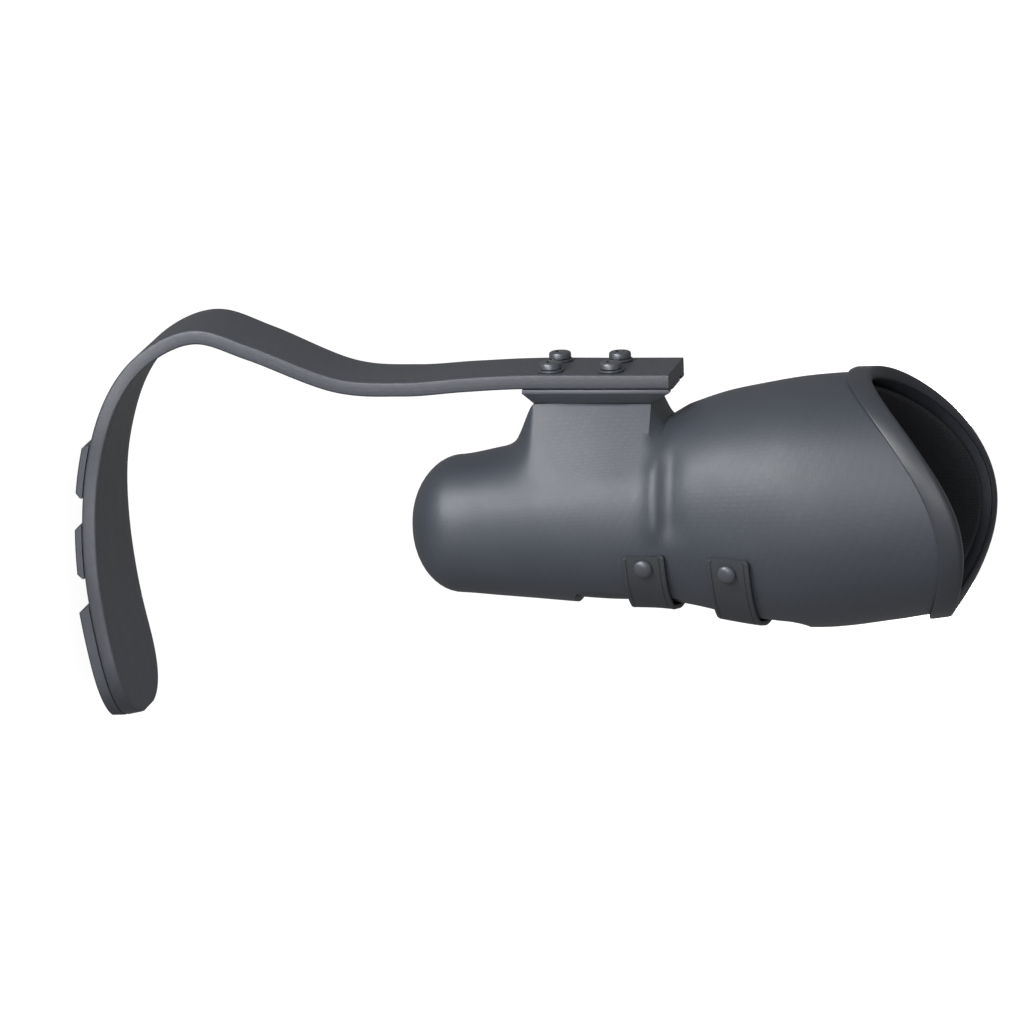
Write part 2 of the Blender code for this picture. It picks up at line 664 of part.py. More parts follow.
def build_strap(side):
    """Fixed end, swinging band, rivet and hook patch of one strap."""
    z, fixed, rivet_angle, fold, free = STRAPS[side]
    tab = band(f"strap_{side}_tab", z, steps(fixed, fold, 6), lambda a: strap_gap(a, free),
               STRAP_THICK, "strap")
    swing = band(f"strap_{side}", z, steps(fold + FOLD_SLIT, free, 27), lambda a: strap_gap(a, free),
                 STRAP_THICK, "strap")
    patch_angles = steps(free - PATCH_SWEEP, free - 1.0, 7)
    patch = band(f"strap_{side}_patch", z, patch_angles, lambda a: STRAP_SEAT, PATCH_THICK,
                 "hook", STRAP_WIDTH - 2 * PATCH_MARGIN)
    here, way = outward(rivet_angle, z)
    base = strap_gap(rivet_angle, free) + STRAP_THICK + GAP
    head = [(0, -WALL), (RIVET_SHANK, -WALL), (RIVET_SHANK, base), (RIVET_HEAD, base),
            (RIVET_HEAD, base + RIVET_RIM)]
    for a in (28, 56):
        turn = math.radians(a)
        head.append((RIVET_HEAD * math.cos(turn), base + RIVET_RIM + RIVET_DOME * math.sin(turn)))
    head.append((0, base + RIVET_RIM + RIVET_DOME))
    rivet = turned(f"strap_{side}_rivet", head, 14, here, way, "steel")
    r = RIVET_SHANK + RIVET_PLAY
    cut(tab, [turned(f"tab_cutter_{side}", [(0, -3), (r, -3), (r, 12), (0, 12)], 10, here, way, "plastic")])
    pivot = Vector(socket_point(fold + FOLD_SLIT / 2, z, strap_gap(fold, free) + STRAP_THICK))
    carry(add_empty(f"strap_{side}_fold", pivot), [swing])
    return [tab, swing, patch, rivet]


# ---------------------------------------------------------------- liner and lock

def lock_axis():
    """Direction in which the limb, liner and pin leave the socket."""
    lean = math.radians(LOCK_LEAN)
    return Vector((0, math.sin(lean), math.cos(lean)))


def build_liner():
    """The soft liner that the limb wears in the socket."""
    outer_inset = WALL + LINER_GAP
    inner_inset = outer_inset + LINER_THICK
    top = LINER_TIP + LINER_DOME
    levels = [272, 287, 301, 315, 329, 337, 345, 366, 388, 409, BRIM_START]
    outside = socket_rings(lambda a, z: inner_point(a, z, outer_inset + read_curve(LINER_EASE, z),
                                                    LINER_TIP, LINER_DOME),
                           dome_levels(LINER_TIP, LINER_DOME, 5) + [top] + levels, 2, LINER_DROP)
    tip = LINER_TIP + LINER_THICK + 1.5
    dome = LINER_DOME - LINER_THICK
    inside = socket_rings(lambda a, z: inner_point(a, z, inner_inset, tip, dome),
                          dome_levels(tip, dome, 4) + [tip + dome] + levels, 2, LINER_DROP)
    return cup("liner", outside, inside, "gel")


def build_lock():
    """Lock body, sprung release button and its bush, the liner's cap and the notched pin."""
    origin, axis = Vector(LOCK_BASE), lock_axis()
    bore = PIN_BORE
    shape = [(bore, 0), (19, 0), (26, 7), (29, 13), (29, 26), (27.5, 27.5), (14, 27.5), (bore, 20)]
    body = turned("lock_body", shape, 24, origin, axis, "plastic", closed=True)
    side = origin + axis * BUTTON_HEIGHT
    spring_bore = [(0, 14), (5.1, 14), (5.1, 40), (0, 40)]
    rod_bore = [(0, 2), (2.9, 2), (2.9, 15), (0, 15)]
    cut(body, [turned("spring_bore_cutter", spring_bore, 16, side, (1, 0, 0), "plastic"),
               turned("rod_bore_cutter", rod_bore, 12, side, (1, 0, 0), "plastic")])
    out = BUTTON_OUT
    push = [(0, 11.5), (2.5, 11.5), (2.5, 26), (4.7, 26), (4.7, 28), (2.9, 28), (2.9, out),
            (6.0, out), (6.4, out + 0.6), (6.4, out + 2.4), (5.4, out + 3.4), (0, out + 3.8)]
    button = turned("lock_button", push, 16, side, (1, 0, 0), "steel")
    bush = [(3.3, 30.6), (4.6, 30.6), (4.6, out - 4.8), (6.6, out - 4.8), (6.6, out - 4.1),
            (3.3, out - 4.1)]
    bushing = turned("button_bush", bush, 16, side, (1, 0, 0), "plastic", closed=True)
    spring = build_spring(side)
    carry(add_empty("lock_button_slide", side), [button])
    cap = turned("liner_cap", [(0, 29.6), (12, 29.6), (20, 31.6), (21, 33.2), (12, 34.6), (0, 35.4)],
                 24, origin, axis, "alloy")
    notches = [(0, 1.0), (3.4, 1.0)]
    for k in range(7):
        start = 2.6 + 3.2 * k
        notches += [(4.9, start), (4.9, start + 1.2), (4.1, start + 1.5), (4.1, start + 2.9)]
    notches += [(4.9, 25.5), (4.9, 29.3), (0, 29.3)]
    pin = turned("lock_pin", notches, 12, origin, axis, "steel")
    return [body, button, bushing, spring], [cap, pin]


def build_spring(side):
    """The coil that pushes the release button out."""
    turns, per_turn, wire, coil = 5, 12, 0.45, 3.7
    start, end = 14.6, 25.4
    count = turns * per_turn + 1
    sections = []
    for k in range(count):
        angle = math.tau * k / per_turn
        x = start + wire + (end - start - 2 * wire) * k / (count - 1)
        out = Vector((0, math.cos(angle), math.sin(angle)))
        centre = Vector(side) + Vector((x, 0, 0)) + out * coil
        sections.append([centre + out * wire * math.cos(math.tau * j / 6)
                         + Vector((wire * math.sin(math.tau * j / 6), 0, 0)) for j in range(6)])
    return swept("lock_spring", sections, "steel")


def button_cutter():
    """The hole in the shell for the button's bush."""
    side = Vector(LOCK_BASE) + lock_axis() * BUTTON_HEIGHT
    return turned("button_cutter", [(0, 25), (4.95, 25), (4.95, 50), (0, 50)], 16, side, (1, 0, 0), "plastic")


def build():
    """Make every piece and hang the moving ones on their joints."""
    for old in list(bpy.data.objects):
        bpy.data.objects.remove(old, do_unlink=True)
    build_shell()
    build_brim()
    build_panel()
    build_rail()
    for side in STRAPS:
        build_strap(side)
    line = blade_line()
    blade = build_blade(line)
    treads = [build_tread(line, name, *ends) for name, ends in TREADS.items()]
    fasteners = build_fasteners()
    carriage = add_empty("blade_height_slide", (0, RAIL_FACE, (RAIL_BOTTOM + RAIL_TOP) / 2))
    toe = add_empty("blade_flex_axis", FLEX_AXIS)
    carry(carriage, [blade] + fasteners + [toe])
    carry(toe, treads)
    _, worn = build_lock()
    liner = build_liner()
    carry(add_empty("liner_slide", LOCK_BASE, LOCK_LEAN), [liner] + worn)


build()
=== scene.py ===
"""Looks of the below-knee running leg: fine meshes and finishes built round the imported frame."""
import functools
import math

import bpy
from mathutils import Matrix, Vector


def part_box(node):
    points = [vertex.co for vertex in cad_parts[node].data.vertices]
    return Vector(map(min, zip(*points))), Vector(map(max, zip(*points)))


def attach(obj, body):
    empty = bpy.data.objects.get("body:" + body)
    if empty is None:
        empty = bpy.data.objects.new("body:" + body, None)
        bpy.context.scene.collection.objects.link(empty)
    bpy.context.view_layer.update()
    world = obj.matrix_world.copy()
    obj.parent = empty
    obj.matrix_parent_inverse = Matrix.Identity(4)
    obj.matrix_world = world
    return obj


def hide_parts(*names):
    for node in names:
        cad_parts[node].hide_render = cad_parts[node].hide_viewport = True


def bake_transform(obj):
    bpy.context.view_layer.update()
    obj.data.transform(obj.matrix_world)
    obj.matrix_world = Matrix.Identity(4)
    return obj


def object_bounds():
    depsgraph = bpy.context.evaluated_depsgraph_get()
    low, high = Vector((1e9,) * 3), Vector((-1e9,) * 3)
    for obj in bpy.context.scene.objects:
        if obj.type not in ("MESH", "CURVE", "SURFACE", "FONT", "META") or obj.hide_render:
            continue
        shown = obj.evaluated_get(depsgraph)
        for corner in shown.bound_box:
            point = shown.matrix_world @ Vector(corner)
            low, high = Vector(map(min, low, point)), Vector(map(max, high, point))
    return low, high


bl_info = {
    "name": "Running leg",
    "version": (1, 0, 0),
    "blender": (4, 5, 0),
    "location": "View3D > Sidebar > Running leg",
    "description": "Builds the socket, blade, straps, liner and lock of a below-knee running leg",
    "category": "Object",
}

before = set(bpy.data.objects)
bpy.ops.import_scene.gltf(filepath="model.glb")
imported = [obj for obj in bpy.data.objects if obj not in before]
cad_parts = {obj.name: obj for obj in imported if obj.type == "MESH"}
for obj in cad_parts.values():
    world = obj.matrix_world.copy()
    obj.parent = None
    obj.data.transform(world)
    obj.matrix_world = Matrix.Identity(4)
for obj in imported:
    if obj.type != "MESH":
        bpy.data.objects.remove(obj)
CAD_BOX = [list(corner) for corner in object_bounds()]

# Lengths are millimetres and heights are measured from the ground; to_metres() turns them into metres.
MM = 0.001
WELD_DISTANCE = 2e-6
TOW_WIDTH, LOOP_WIDTH, LOOP_HEIGHT = 0.0021, 0.0013, 0.0010
SEAT_HEIGHT = 440.0

SOCKET_STATIONS = (
    (215, -46.5, 30.5, 38), (236, -48, 34.5, 41), (258, -49.5, 39, 45), (277, -51, 43.5, 48),
    (301, -52.5, 48, 50.5), (329, -53, 50.5, 52), (345, -55.5, 59, 55), (366, -60, 66, 59.5),
    (388, -63.5, 70.5, 63.5), (409, -65, 74, 66.5), (431, -64.3, 76, 67.5), (464, -60, 77, 67.5),
    (485, -56.6, 77, 67), (512, -54, 77, 66.5))
SECTION_POWER = 2.15
DOME_HEIGHT = 28.5
DOME_TOP = SOCKET_STATIONS[0][0]
WALL = 4.5
NECK_RELIEF = ((301, 0.0), (329, 2.6), (345, 0.0))
WAIST_RING = (332.0, 5.0, 2.6)
WAIST_GROOVE = (342.5, 5.5, -2.0)
WAIST_REACH = ((30, 0.0), (56, 1.0), (86, 1.0), (103, 0.0))
BRIM_LEVEL, BRIM_SWING, BRIM_SADDLE = 501.0, 21.0, 33.0
BRIM_START = 428.0
BOSS_BOTTOM, BOSS_TOP, BOSS_NOTCH = 257.5, 327.5, 334.5
BOSS_FILLET, BOSS_POWER, BOSS_EASE = 21.0, 3.2, 0.8
BOSS_FACE, BOSS_HALF_WIDTH = 63.9, 17.3
WINDOW_HALF_WIDTH, WINDOW_BOTTOM, WINDOW_TOP, WINDOW_CORNER = 35.0, 281.0, 413.0, 11.0
PANEL_SETBACK = 2.8
STRAPS = {"lower": (326.0, 105.0, 111.5, 120.0, 262.0), "upper": (375.0, 106.5, 113.5, 122.0, 257.0)}
STRAP_DIP = ((148, 0.0), (164, 2.2), (196, 2.2), (212, 0.0))
STRAP_LIFT = 1.4
PATCH_SWEEP = 26.0
LINER_TIP, LINER_DOME, LINER_INSET, LINER_THICK, LINER_DROP = 234.5, 25.0, 5.1, 5.5, 5.0
LINER_EASE = ((375, 0.0), (405, 1.2), (420, 2.2), (455, 2.4), (485, 1.3), (505, 0.6))
LOCK_BASE, LOCK_LEAN, BUTTON_HEIGHT, BUTTON_OUT = (0.0, -8.7, 197.5), 6.0, 14.0, 43.4
BLADE_PATH = ((77.4, 339), (77.4, 300), (77.4, 256), (75.8, 222), (73.6, 188), (76.4, 150), (95, 103.5),
              (104.6, 72), (92.2, 43), (67.3, 23.6), (29, 11.8), (-13, 8.9), (-58, 13), (-115.5, 24.6))
BLADE_WIDTHS = ((0, 48), (95, 48), (150, 51), (275, 61), (365, 75), (450, 86), (530, 90))
TOE_ROUND, TOE_POWER = 42.0, 2.6
TREADS = {"rear": (44, 14), "mid": (0, -30), "front": (-46, None)}
TREAD_INSET = 0.4
BLADE_END_TRIM, MIN_HALF_WIDTH = 0.6, 3.0
TREAD_TOE_TRIM, TREAD_LIP, TREAD_SHOULDER, TREAD_RISE = 2.0, 1.6, 1.2, 0.9
GAP = 0.3
# Bores through the blade, washers and nuts, for the rivets and for the button's bush.
BLADE_BORE, BOLT_BORE, RIVET_BORE, BUSH_BORE = 3.4, 3.3, 2.35, 4.95
KEY_RADIUS, KEY_DEPTH = 2.9, 2.2
# The straps' height off the shell, and where they climb onto a patch before it starts and ends.
STRAP_SEAT, STRAP_CLIMB = 0.4, (12, 2)
RIVET_HEAD, RIVET_SHANK, RIVET_RIM, RIVET_DOME = 5.3, 2.0, 0.6, 2.6
PANEL_CLEARANCE, PANEL_ROLL, PANEL_ROLL_WIDTH = 0.5, 0.7, 2.2
# The floor lies clear below the treads at the blade's lowest setting, in metres.
FLOOR_DROP = 0.0075


# ---------------------------------------------------------------- curves

def read_curve(keys, x):
    """Read a value off straight lines between (x, value) keys."""
    if x <= keys[0][0]:
        return keys[0][1]
    for (x0, v0), (x1, v1) in zip(keys, keys[1:]):
        if x <= x1:
            return v0 + (v1 - v0) * (x - x0) / (x1 - x0)
    return keys[-1][1]


def soft_curve(keys, x):
    """The same keys with eased ends between them."""
    for (x0, v0), (x1, v1) in zip(keys, keys[1:]):
        if x0 < x <= x1:
            t = (x - x0) / (x1 - x0)
            return v0 + (v1 - v0) * t * t * (3 - 2 * t)
    return keys[0][1] if x <= keys[0][0] else keys[-1][1]


def spline(keys, t):
    """Catmull-Rom curve through tuples; t counts keys from 0."""
    last = len(keys) - 1
    i = min(int(t), last - 1)
    f = t - i
    a, b = keys[max(i - 1, 0)], keys[i]
    c, d = keys[i + 1], keys[min(i + 2, last)]
    return tuple(0.5 * (2 * q + (r - p) * f + (2 * p - 5 * q + 4 * r - s) * f * f
                        + (3 * q - p - 3 * r + s) * f ** 3) for p, q, r, s in zip(a, b, c, d))


def steps(start, end, count):
    """Evenly spaced values from start to end."""
    return [start + (end - start) * k / (count - 1) for k in range(count)]


def chain(*stops):
    """Values through (value, parts to the next value) stops; the last stop is a value alone."""
    values = []
    for (value, parts), following in zip(stops, stops[1:]):
        goal = following[0] if isinstance(following, tuple) else following
        values += [value + (goal - value) * k / parts for k in range(parts)]
    return values + [stops[-1]]


# ---------------------------------------------------------------- socket surface

def socket_station(z):
    """Front, rear and half width of the socket at a level."""
    heights = [station[0] for station in SOCKET_STATIONS]
    z = min(max(z, heights[0]), heights[-1])
    i = max(k for k, height in enumerate(heights[:-1]) if height <= z)
    t = i + (z - heights[i]) / (heights[i + 1] - heights[i])
    return spline([station[1:] for station in SOCKET_STATIONS], t)


def section(z, inset=0.0, tip=None, dome=None):
    """Centre, rear half depth and half width of the surface moved in by inset at a level."""
    dome = DOME_HEIGHT - inset if dome is None else dome
    top = DOME_TOP if tip is None else tip + dome
    front, rear, half = socket_station(max(z, top))
    if inset:
        rear += read_curve(NECK_RELIEF, z)
    shrink = math.sqrt(max(0.0, 1.0 - (max(top - z, 0.0) / dome) ** 2))
    return (front + rear) / 2, ((rear - front) / 2 - inset) * shrink, (half - inset) * shrink


def radius(angle, depth, width):
    """Polar radius of the rounded section."""
    side = abs(math.sin(math.radians(angle))) / max(width, 1e-6)
    rear = abs(math.cos(math.radians(angle))) / max(depth, 1e-6)
    return (side ** SECTION_POWER + rear ** SECTION_POWER) ** (-1 / SECTION_POWER)


def polar(angle, centre, reach, z):
    """Turn an angle and a radius at a level into a point."""
    turn = math.radians(angle)
    return -reach * math.sin(turn), centre + reach * math.cos(turn), z


def socket_point(angle, z, offset=0.0):
    """A point on the plain outer surface of the socket, without the boss."""
    centre, depth, width = section(z)
    return polar(angle, centre, radius(angle, depth, width) + offset, z)


def inner_point(angle, z, inset, tip=None, dome=None):
    """A point on a surface that lies inset inside the outer one."""
    centre, depth, width = section(z, inset, tip, dome)
    return polar(angle, centre, radius(angle, depth, width), z)


@functools.lru_cache(maxsize=None)
def web_line(z):
    """Slope of the flat web from the boss's edge to where it meets the socket, and that angle."""
    centre, depth, width = section(z)
    best = (0.0, 0.0)
    for k in range(40, 180):
        turn = math.radians(k / 2)
        reach = radius(k / 2, depth, width)
        rise = BOSS_FACE - centre - reach * math.cos(turn)
        best = max(best, ((reach * math.sin(turn) - BOSS_HALF_WIDTH) / rise, k / 2))
    return best


def web_radius(angle, z):
    """Polar radius of the boss and of the flat webs that run from it to the socket's sides."""
    centre, depth, width = section(z)
    plain = radius(angle, depth, width)
    slope, meeting = web_line(z)
    from_rear = min(angle, 360 - angle)
    if from_rear >= meeting:
        return plain
    turn = math.radians(from_rear)
    face = BOSS_FACE - centre
    side = (BOSS_HALF_WIDTH + slope * face) / (math.sin(turn) + slope * math.cos(turn))
    return max(plain, min(side, face / math.cos(turn)))


def boss_share(z):
    """How much of the boss stands at a level: a long fillet below, a leaning wall above."""
    rise = max(0.0, 1.0 + (z - BOSS_BOTTOM) / BOSS_FILLET) ** BOSS_POWER
    near = max(BOSS_EASE - abs(1.0 - rise), 0.0) / BOSS_EASE
    wall = read_curve(((BOSS_TOP, 1.0), (BOSS_NOTCH, 0.0)), z)
    return min(wall, 1.0, rise) - near * near * BOSS_EASE / 4


def shell_point(angle, z):
    """A point on the shell's outer surface with its boss, ring and groove."""
    centre, depth, width = section(z)
    reach = radius(angle, depth, width)
    if BOSS_BOTTOM - BOSS_FILLET < z < BOSS_NOTCH:
        reach += (web_radius(angle, z) - reach) * boss_share(z)
    side = soft_curve(WAIST_REACH, min(angle, 360 - angle))
    for middle, spread, height in (WAIST_RING, WAIST_GROOVE):
        reach += side * height * math.exp(-((z - middle) / spread) ** 2)
    return polar(angle, centre, reach, z)


def rim_height(angle):
    """Height of the brim at an angle."""
    c = math.cos(math.radians(angle))
    return BRIM_LEVEL - BRIM_SWING * c - BRIM_SADDLE * c * c


def fan(angle, share, drop=0.0):
    """Level of a row that fans out from BRIM_START (share 0) to the rim (share 1)."""
    return BRIM_START + (rim_height(angle) - drop - BRIM_START) * share


def round_angles():
    """Angles round the socket, closer together at the boss; first and last meet."""
    half = chain((0, 4), (12, 8), (18, 17), (62, 36), 180)
    return half + [360 - angle for angle in half[-2::-1]]


def dome_levels(tip, height, count):
    """Levels of a dome's rings from its tip, even in angle."""
    return [tip + height * (1 - math.cos(math.radians(90 * k / count))) for k in range(count)]


# ---------------------------------------------------------------- blade line

def blade_line():
    """Points down the blade's middle line, close together, with their distance from the top."""
    fine = [spline(BLADE_PATH, (len(BLADE_PATH) - 1) * k / 400) for k in range(401)]
    run = [0.0]
    for a, b in zip(fine, fine[1:]):
        run.append(run[-1] + math.dist(a, b))
    return fine, run


LINE = blade_line()
BLADE_LENGTH = LINE[1][-1]


def blade_frame(distance):
    """Middle point and outward direction (away from the socket) at a distance down the blade."""
    fine, run = LINE
    distance = min(max(distance, 0.0), run[-1] - 0.001)
    i = max(k for k in range(len(run) - 1) if run[k] <= distance)
    f = (distance - run[i]) / (run[i + 1] - run[i])
    (y0, z0), (y1, z1) = fine[i], fine[i + 1]
    ahead, behind = fine[min(i + 3, len(fine) - 1)], fine[max(i - 2, 0)]
    along = Vector((ahead[0] - behind[0], ahead[1] - behind[1])).normalized()
    return y0 + (y1 - y0) * f, z0 + (z1 - z0) * f, Vector((-along[1], along[0]))


def blade_half_width(distance):
    """Half width at a distance down the blade, with the toe's rounded end."""
    half = soft_curve(BLADE_WIDTHS, distance) / 2
    into = max(0.0, (distance - (BLADE_LENGTH - TOE_ROUND)) / TOE_ROUND)
    return half * max(0.0, 1 - into ** TOE_POWER) ** (1 / TOE_POWER)


def blade_point(distance, x, depth):
    """A point beside and off the blade's middle line."""
    y, z, out = blade_frame(distance)
    return x, y + out[0] * depth, z + out[1] * depth


def distance_at_rear(rear):
    """Distance down the blade where its lower run passes a rear distance."""
    fine, run = LINE
    turn = max(range(len(fine)), key=lambda k: fine[k][0])
    return next(run[k] for k in range(turn, len(fine)) if fine[k][0] <= rear)


def toe_stations(start, end, even):
    """Distances along the blade, closer together where the toe rounds off."""
    straight_end = min(end, BLADE_LENGTH - TOE_ROUND)
    stations = steps(start, straight_end, max(2, round((straight_end - start) / even) + 1))
    if end > straight_end:
        stations += [straight_end + (end - straight_end) * math.sin(math.radians(90 * k / 14))
                     for k in range(1, 15)]
    return stations


# ---------------------------------------------------------------- modelling

def sizes():
    """The sizes that the panel offers."""
    return bpy.context.scene.running_leg


def clear_selection():
    """Leave edit mode and deselect everything."""
    if bpy.context.object and bpy.context.object.mode != "OBJECT":
        bpy.ops.object.mode_set(mode="OBJECT")
    bpy.ops.object.select_all(action="DESELECT")


def focus(piece):
    """Make one object the only selected and active one."""
    clear_selection()
    piece.select_set(True)
    bpy.context.view_layer.objects.active = piece


def to_metres(point):
    """Millimetres above the ground to metres in the frame."""
    return Vector((point[0], point[1], point[2] - SEAT_HEIGHT)) * MM


def weld(piece):
    """Merge meeting vertices and turn all faces outwards."""
    focus(piece)
    bpy.ops.object.mode_set(mode="EDIT")
    bpy.ops.mesh.select_all(action="SELECT")
    bpy.ops.mesh.remove_doubles(threshold=WELD_DISTANCE)
    bpy.ops.mesh.normals_make_consistent(inside=False)
    bpy.ops.object.mode_set(mode="OBJECT")


def wrap(name, across, along, point, lengths=None):
    """Add a grid and wrap it over a surface: its columns take across, its rows along.

    lengths gives the grid's real width and length, which its UV map then holds in metres.
    """
    clear_selection()
    bpy.ops.mesh.primitive_grid_add(x_subdivisions=len(across) - 1, y_subdivisions=len(along) - 1,
                                    size=1.0, location=(0, 0, 0), calc_uvs=True)
    piece = bpy.context.object
    piece.name = piece.data.name = name
    mesh = piece.data
    for vertex in mesh.vertices:
        i = round((vertex.co.x + 0.5) * (len(across) - 1))
        j = round((vertex.co.y + 0.5) * (len(along) - 1))
        vertex.co = to_metres(point(across[i], along[j]))
    if lengths:
        for corner in mesh.uv_layers[0].data:
            corner.uv = (corner.uv[0] * lengths[0] * MM, corner.uv[1] * lengths[1] * MM)
    weld(piece)
    return piece


def turned(name, profile, origin, axis, segments=48):
    """Wrap a grid round an axis along a profile of (radius, height) points."""
    turn = Vector((0, 0, 1)).rotation_difference(Vector(axis)).to_matrix()
    origin = Vector(origin)

    def point(angle, corner):
        reach, height = corner
        return origin + turn @ Vector((reach * math.cos(angle), reach * math.sin(angle), height))

    angles = [math.tau * k / segments for k in range(segments)] + [0.0]
    return wrap(name, angles, profile, point, (60, 30))


def apply_modifier(piece, kind, **settings):
    """Add a modifier with these settings and apply it."""
    focus(piece)
    modifier = piece.modifiers.new(kind.title(), kind)
    for key, value in settings.items():
        setattr(modifier, key, value)
    bpy.ops.object.modifier_apply(modifier=modifier.name)


def cut(piece, *cutters):
    """Cut pieces away and remove them."""
    for cutter in cutters:
        apply_modifier(piece, "BOOLEAN", operation="DIFFERENCE", solver="EXACT", object=cutter)
        bpy.data.objects.remove(cutter, do_unlink=True)


def soften(piece, width):
    """Round the sharp edges by a width in millimetres."""
    apply_modifier(piece, "BEVEL", width=width * MM, segments=2, limit_method="ANGLE",
                   angle_limit=math.radians(32.0), use_clamp_overlap=True)


def pick(piece, kind, wanted):
    """Enter edit mode with only the wanted faces or edges selected."""
    focus(piece)
    bpy.ops.object.mode_set(mode="EDIT")
    bpy.ops.mesh.select_mode(type=kind)
    bpy.ops.mesh.select_all(action="DESELECT")
    bpy.ops.object.mode_set(mode="OBJECT")
    for part in (piece.data.polygons if kind == "FACE" else piece.data.edges):
        part.select = wanted(part)
    bpy.ops.object.mode_set(mode="EDIT")


def block(name, low, high):
    """A box from its lowest to its highest corner, given in metres, placed in its mesh."""
    clear_selection()
    low, high = Vector(low), Vector(high)
    bpy.ops.mesh.primitive_cube_add(size=1.0, location=(low + high) / 2)
    piece = bpy.context.object
    piece.name = piece.data.name = name
    piece.dimensions = high - low
    bpy.ops.object.transform_apply(location=True, rotation=True, scale=True)
    return piece


def drill(name, radius_mm, start, end, vertices=32):
    """A cutting cylinder between two points in metres."""
    clear_selection()
    start, end = Vector(start), Vector(end)
    way = end - start
    bpy.ops.mesh.primitive_cylinder_add(
        vertices=vertices, radius=radius_mm * MM, depth=way.length, location=(start + end) / 2,
        rotation=way.to_track_quat("Z", "Y").to_euler())
    piece = bpy.context.object
    piece.name = name
    bpy.ops.object.transform_apply(location=True, rotation=True, scale=True)
    return piece


def finish_piece(piece, body, nodes, look, angle=38.0):
    """Shade a piece smooth apart from its sharp edges, give it its look and tie it to the frame."""
    focus(piece)
    bpy.ops.object.shade_smooth_by_angle(angle=math.radians(angle))
    piece.data.materials.clear()
    piece.data.materials.append(look)
    if body:
        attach(piece, body)
    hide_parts(*nodes)
    return piece


# ---------------------------------------------------------------- shader maths

class Wire:
    """A shader socket that takes part in arithmetic."""

    def __init__(self, tree, socket):
        self.tree = tree
        self.socket = socket

    def math(self, operation, *others):
        """Add a Math node on this value and the others."""
        node = self.tree.nodes.new("ShaderNodeMath")
        node.operation = operation
        for place, value in zip(node.inputs, (self, *others)):
            feed(self.tree, place, value)
        return Wire(self.tree, node.outputs[0])

    def __add__(self, other):
        return self.math("ADD", other)

    __radd__ = __add__

    def __sub__(self, other):
        return self.math("SUBTRACT", other)

    def __rsub__(self, other):
        return (self * -1.0) + other

    def __mul__(self, other):
        return self.math("MULTIPLY", other)

    __rmul__ = __mul__

    def __truediv__(self, other):
        return self.math("DIVIDE", other)

    def fraction(self):
        """The part after the point."""
        return self.math("FRACT")

    def floor(self):
        """The whole number below."""
        return self.math("FLOOR")

    def wave(self):
        """Sine of this value."""
        return self.math("SINE")

    def below(self, limit):
        """1 where this is less than the limit, else 0."""
        return self.math("LESS_THAN", limit)

    def clamp(self):
        """Held between 0 and 1."""
        return self.math("MAXIMUM", 0.0).math("MINIMUM", 1.0)


def feed(tree, place, value):
    """Link a wire to a socket, or set the socket's value."""
    if isinstance(value, Wire):
        tree.links.new(value.socket, place)
    else:
        place.default_value = value


class Look:
    """One material: a Principled shader whose sockets take numbers or wires."""

    def __init__(self, name, **constants):
        self.material = bpy.data.materials.new(name)
        self.material.use_nodes = True
        self.tree = self.material.node_tree
        self.shader = self.tree.nodes["Principled BSDF"]
        for key, value in constants.items():
            self.shader.inputs[key.replace("_", " ")].default_value = value

    def node(self, kind, settings=(), output=0, **inputs):
        """Add any node: its settings first, then its sockets, which take numbers or wires."""
        node = self.tree.nodes.new(kind)
        for key, value in dict(settings).items():
            setattr(node, key, value)
        for key, value in inputs.items():
            feed(self.tree, node.inputs[key.replace("_", " ")], value)
        return Wire(self.tree, node.outputs[output])

    def object_point(self):
        """Object coordinates, in metres."""
        return self.node("ShaderNodeTexCoord", output="Object")

    def uv(self):
        """The two UV numbers, in metres along the surface."""
        node = self.tree.nodes.new("ShaderNodeSeparateXYZ")
        feed(self.tree, node.inputs[0], self.node("ShaderNodeTexCoord", output="UV"))
        return Wire(self.tree, node.outputs[0]), Wire(self.tree, node.outputs[1])

    def noise(self, scale, detail=3.0, roughness=0.55):
        """Noise between 0 and 1 at a scale in cells a metre."""
        return self.node("ShaderNodeTexNoise", Vector=self.object_point(), Scale=scale,
                         Detail=detail, Roughness=roughness)

    def cells(self, scale):
        """Distance to the nearest cell's middle."""
        return self.node("ShaderNodeTexVoronoi", {"feature": "F1"}, Vector=self.object_point(),
                         Scale=scale)

    def tint(self, factor, dark, light):
        """Base colour between two tones."""
        mix = self.tree.nodes.new("ShaderNodeMix")
        mix.data_type = "RGBA"
        feed(self.tree, mix.inputs["Factor"], factor)
        tones = {"A": (*dark, 1.0), "B": (*light, 1.0)}
        for socket in mix.inputs:
            if socket.type == "RGBA":
                socket.default_value = tones[socket.name]
        colour = next(socket for socket in mix.outputs if socket.type == "RGBA")
        self.tree.links.new(colour, self.shader.inputs["Base Color"])

    def roughness(self, value):
        """Drive the roughness."""
        feed(self.tree, self.shader.inputs["Roughness"], value)

    def relief(self, height, depth_mm):
        """Bump of a depth in millimetres."""
        bump = self.node("ShaderNodeBump", output="Normal", Height=height, Distance=depth_mm * MM,
                         Strength=1.0)
        feed(self.tree, self.shader.inputs["Normal"], bump)


def shades(colour, spread):
    """A darker and a lighter tone about a colour."""
    return tuple(c * (1 - spread) for c in colour), tuple(c * (1 + spread) for c in colour)


def twill(look, tow):
    """Height of a two-over-two twill on the UV map, for tows of a width in metres."""
    u, v = look.uv()
    across, along = u / tow, v / tow
    turn = ((across.floor() + along.floor()) / 4.0).fraction()
    warp_on_top = turn.below(0.49)
    warp = (across.fraction() * math.pi).wave()
    weft = (along.fraction() * math.pi).wave()
    return warp * warp_on_top + weft * (1 - warp_on_top), warp_on_top


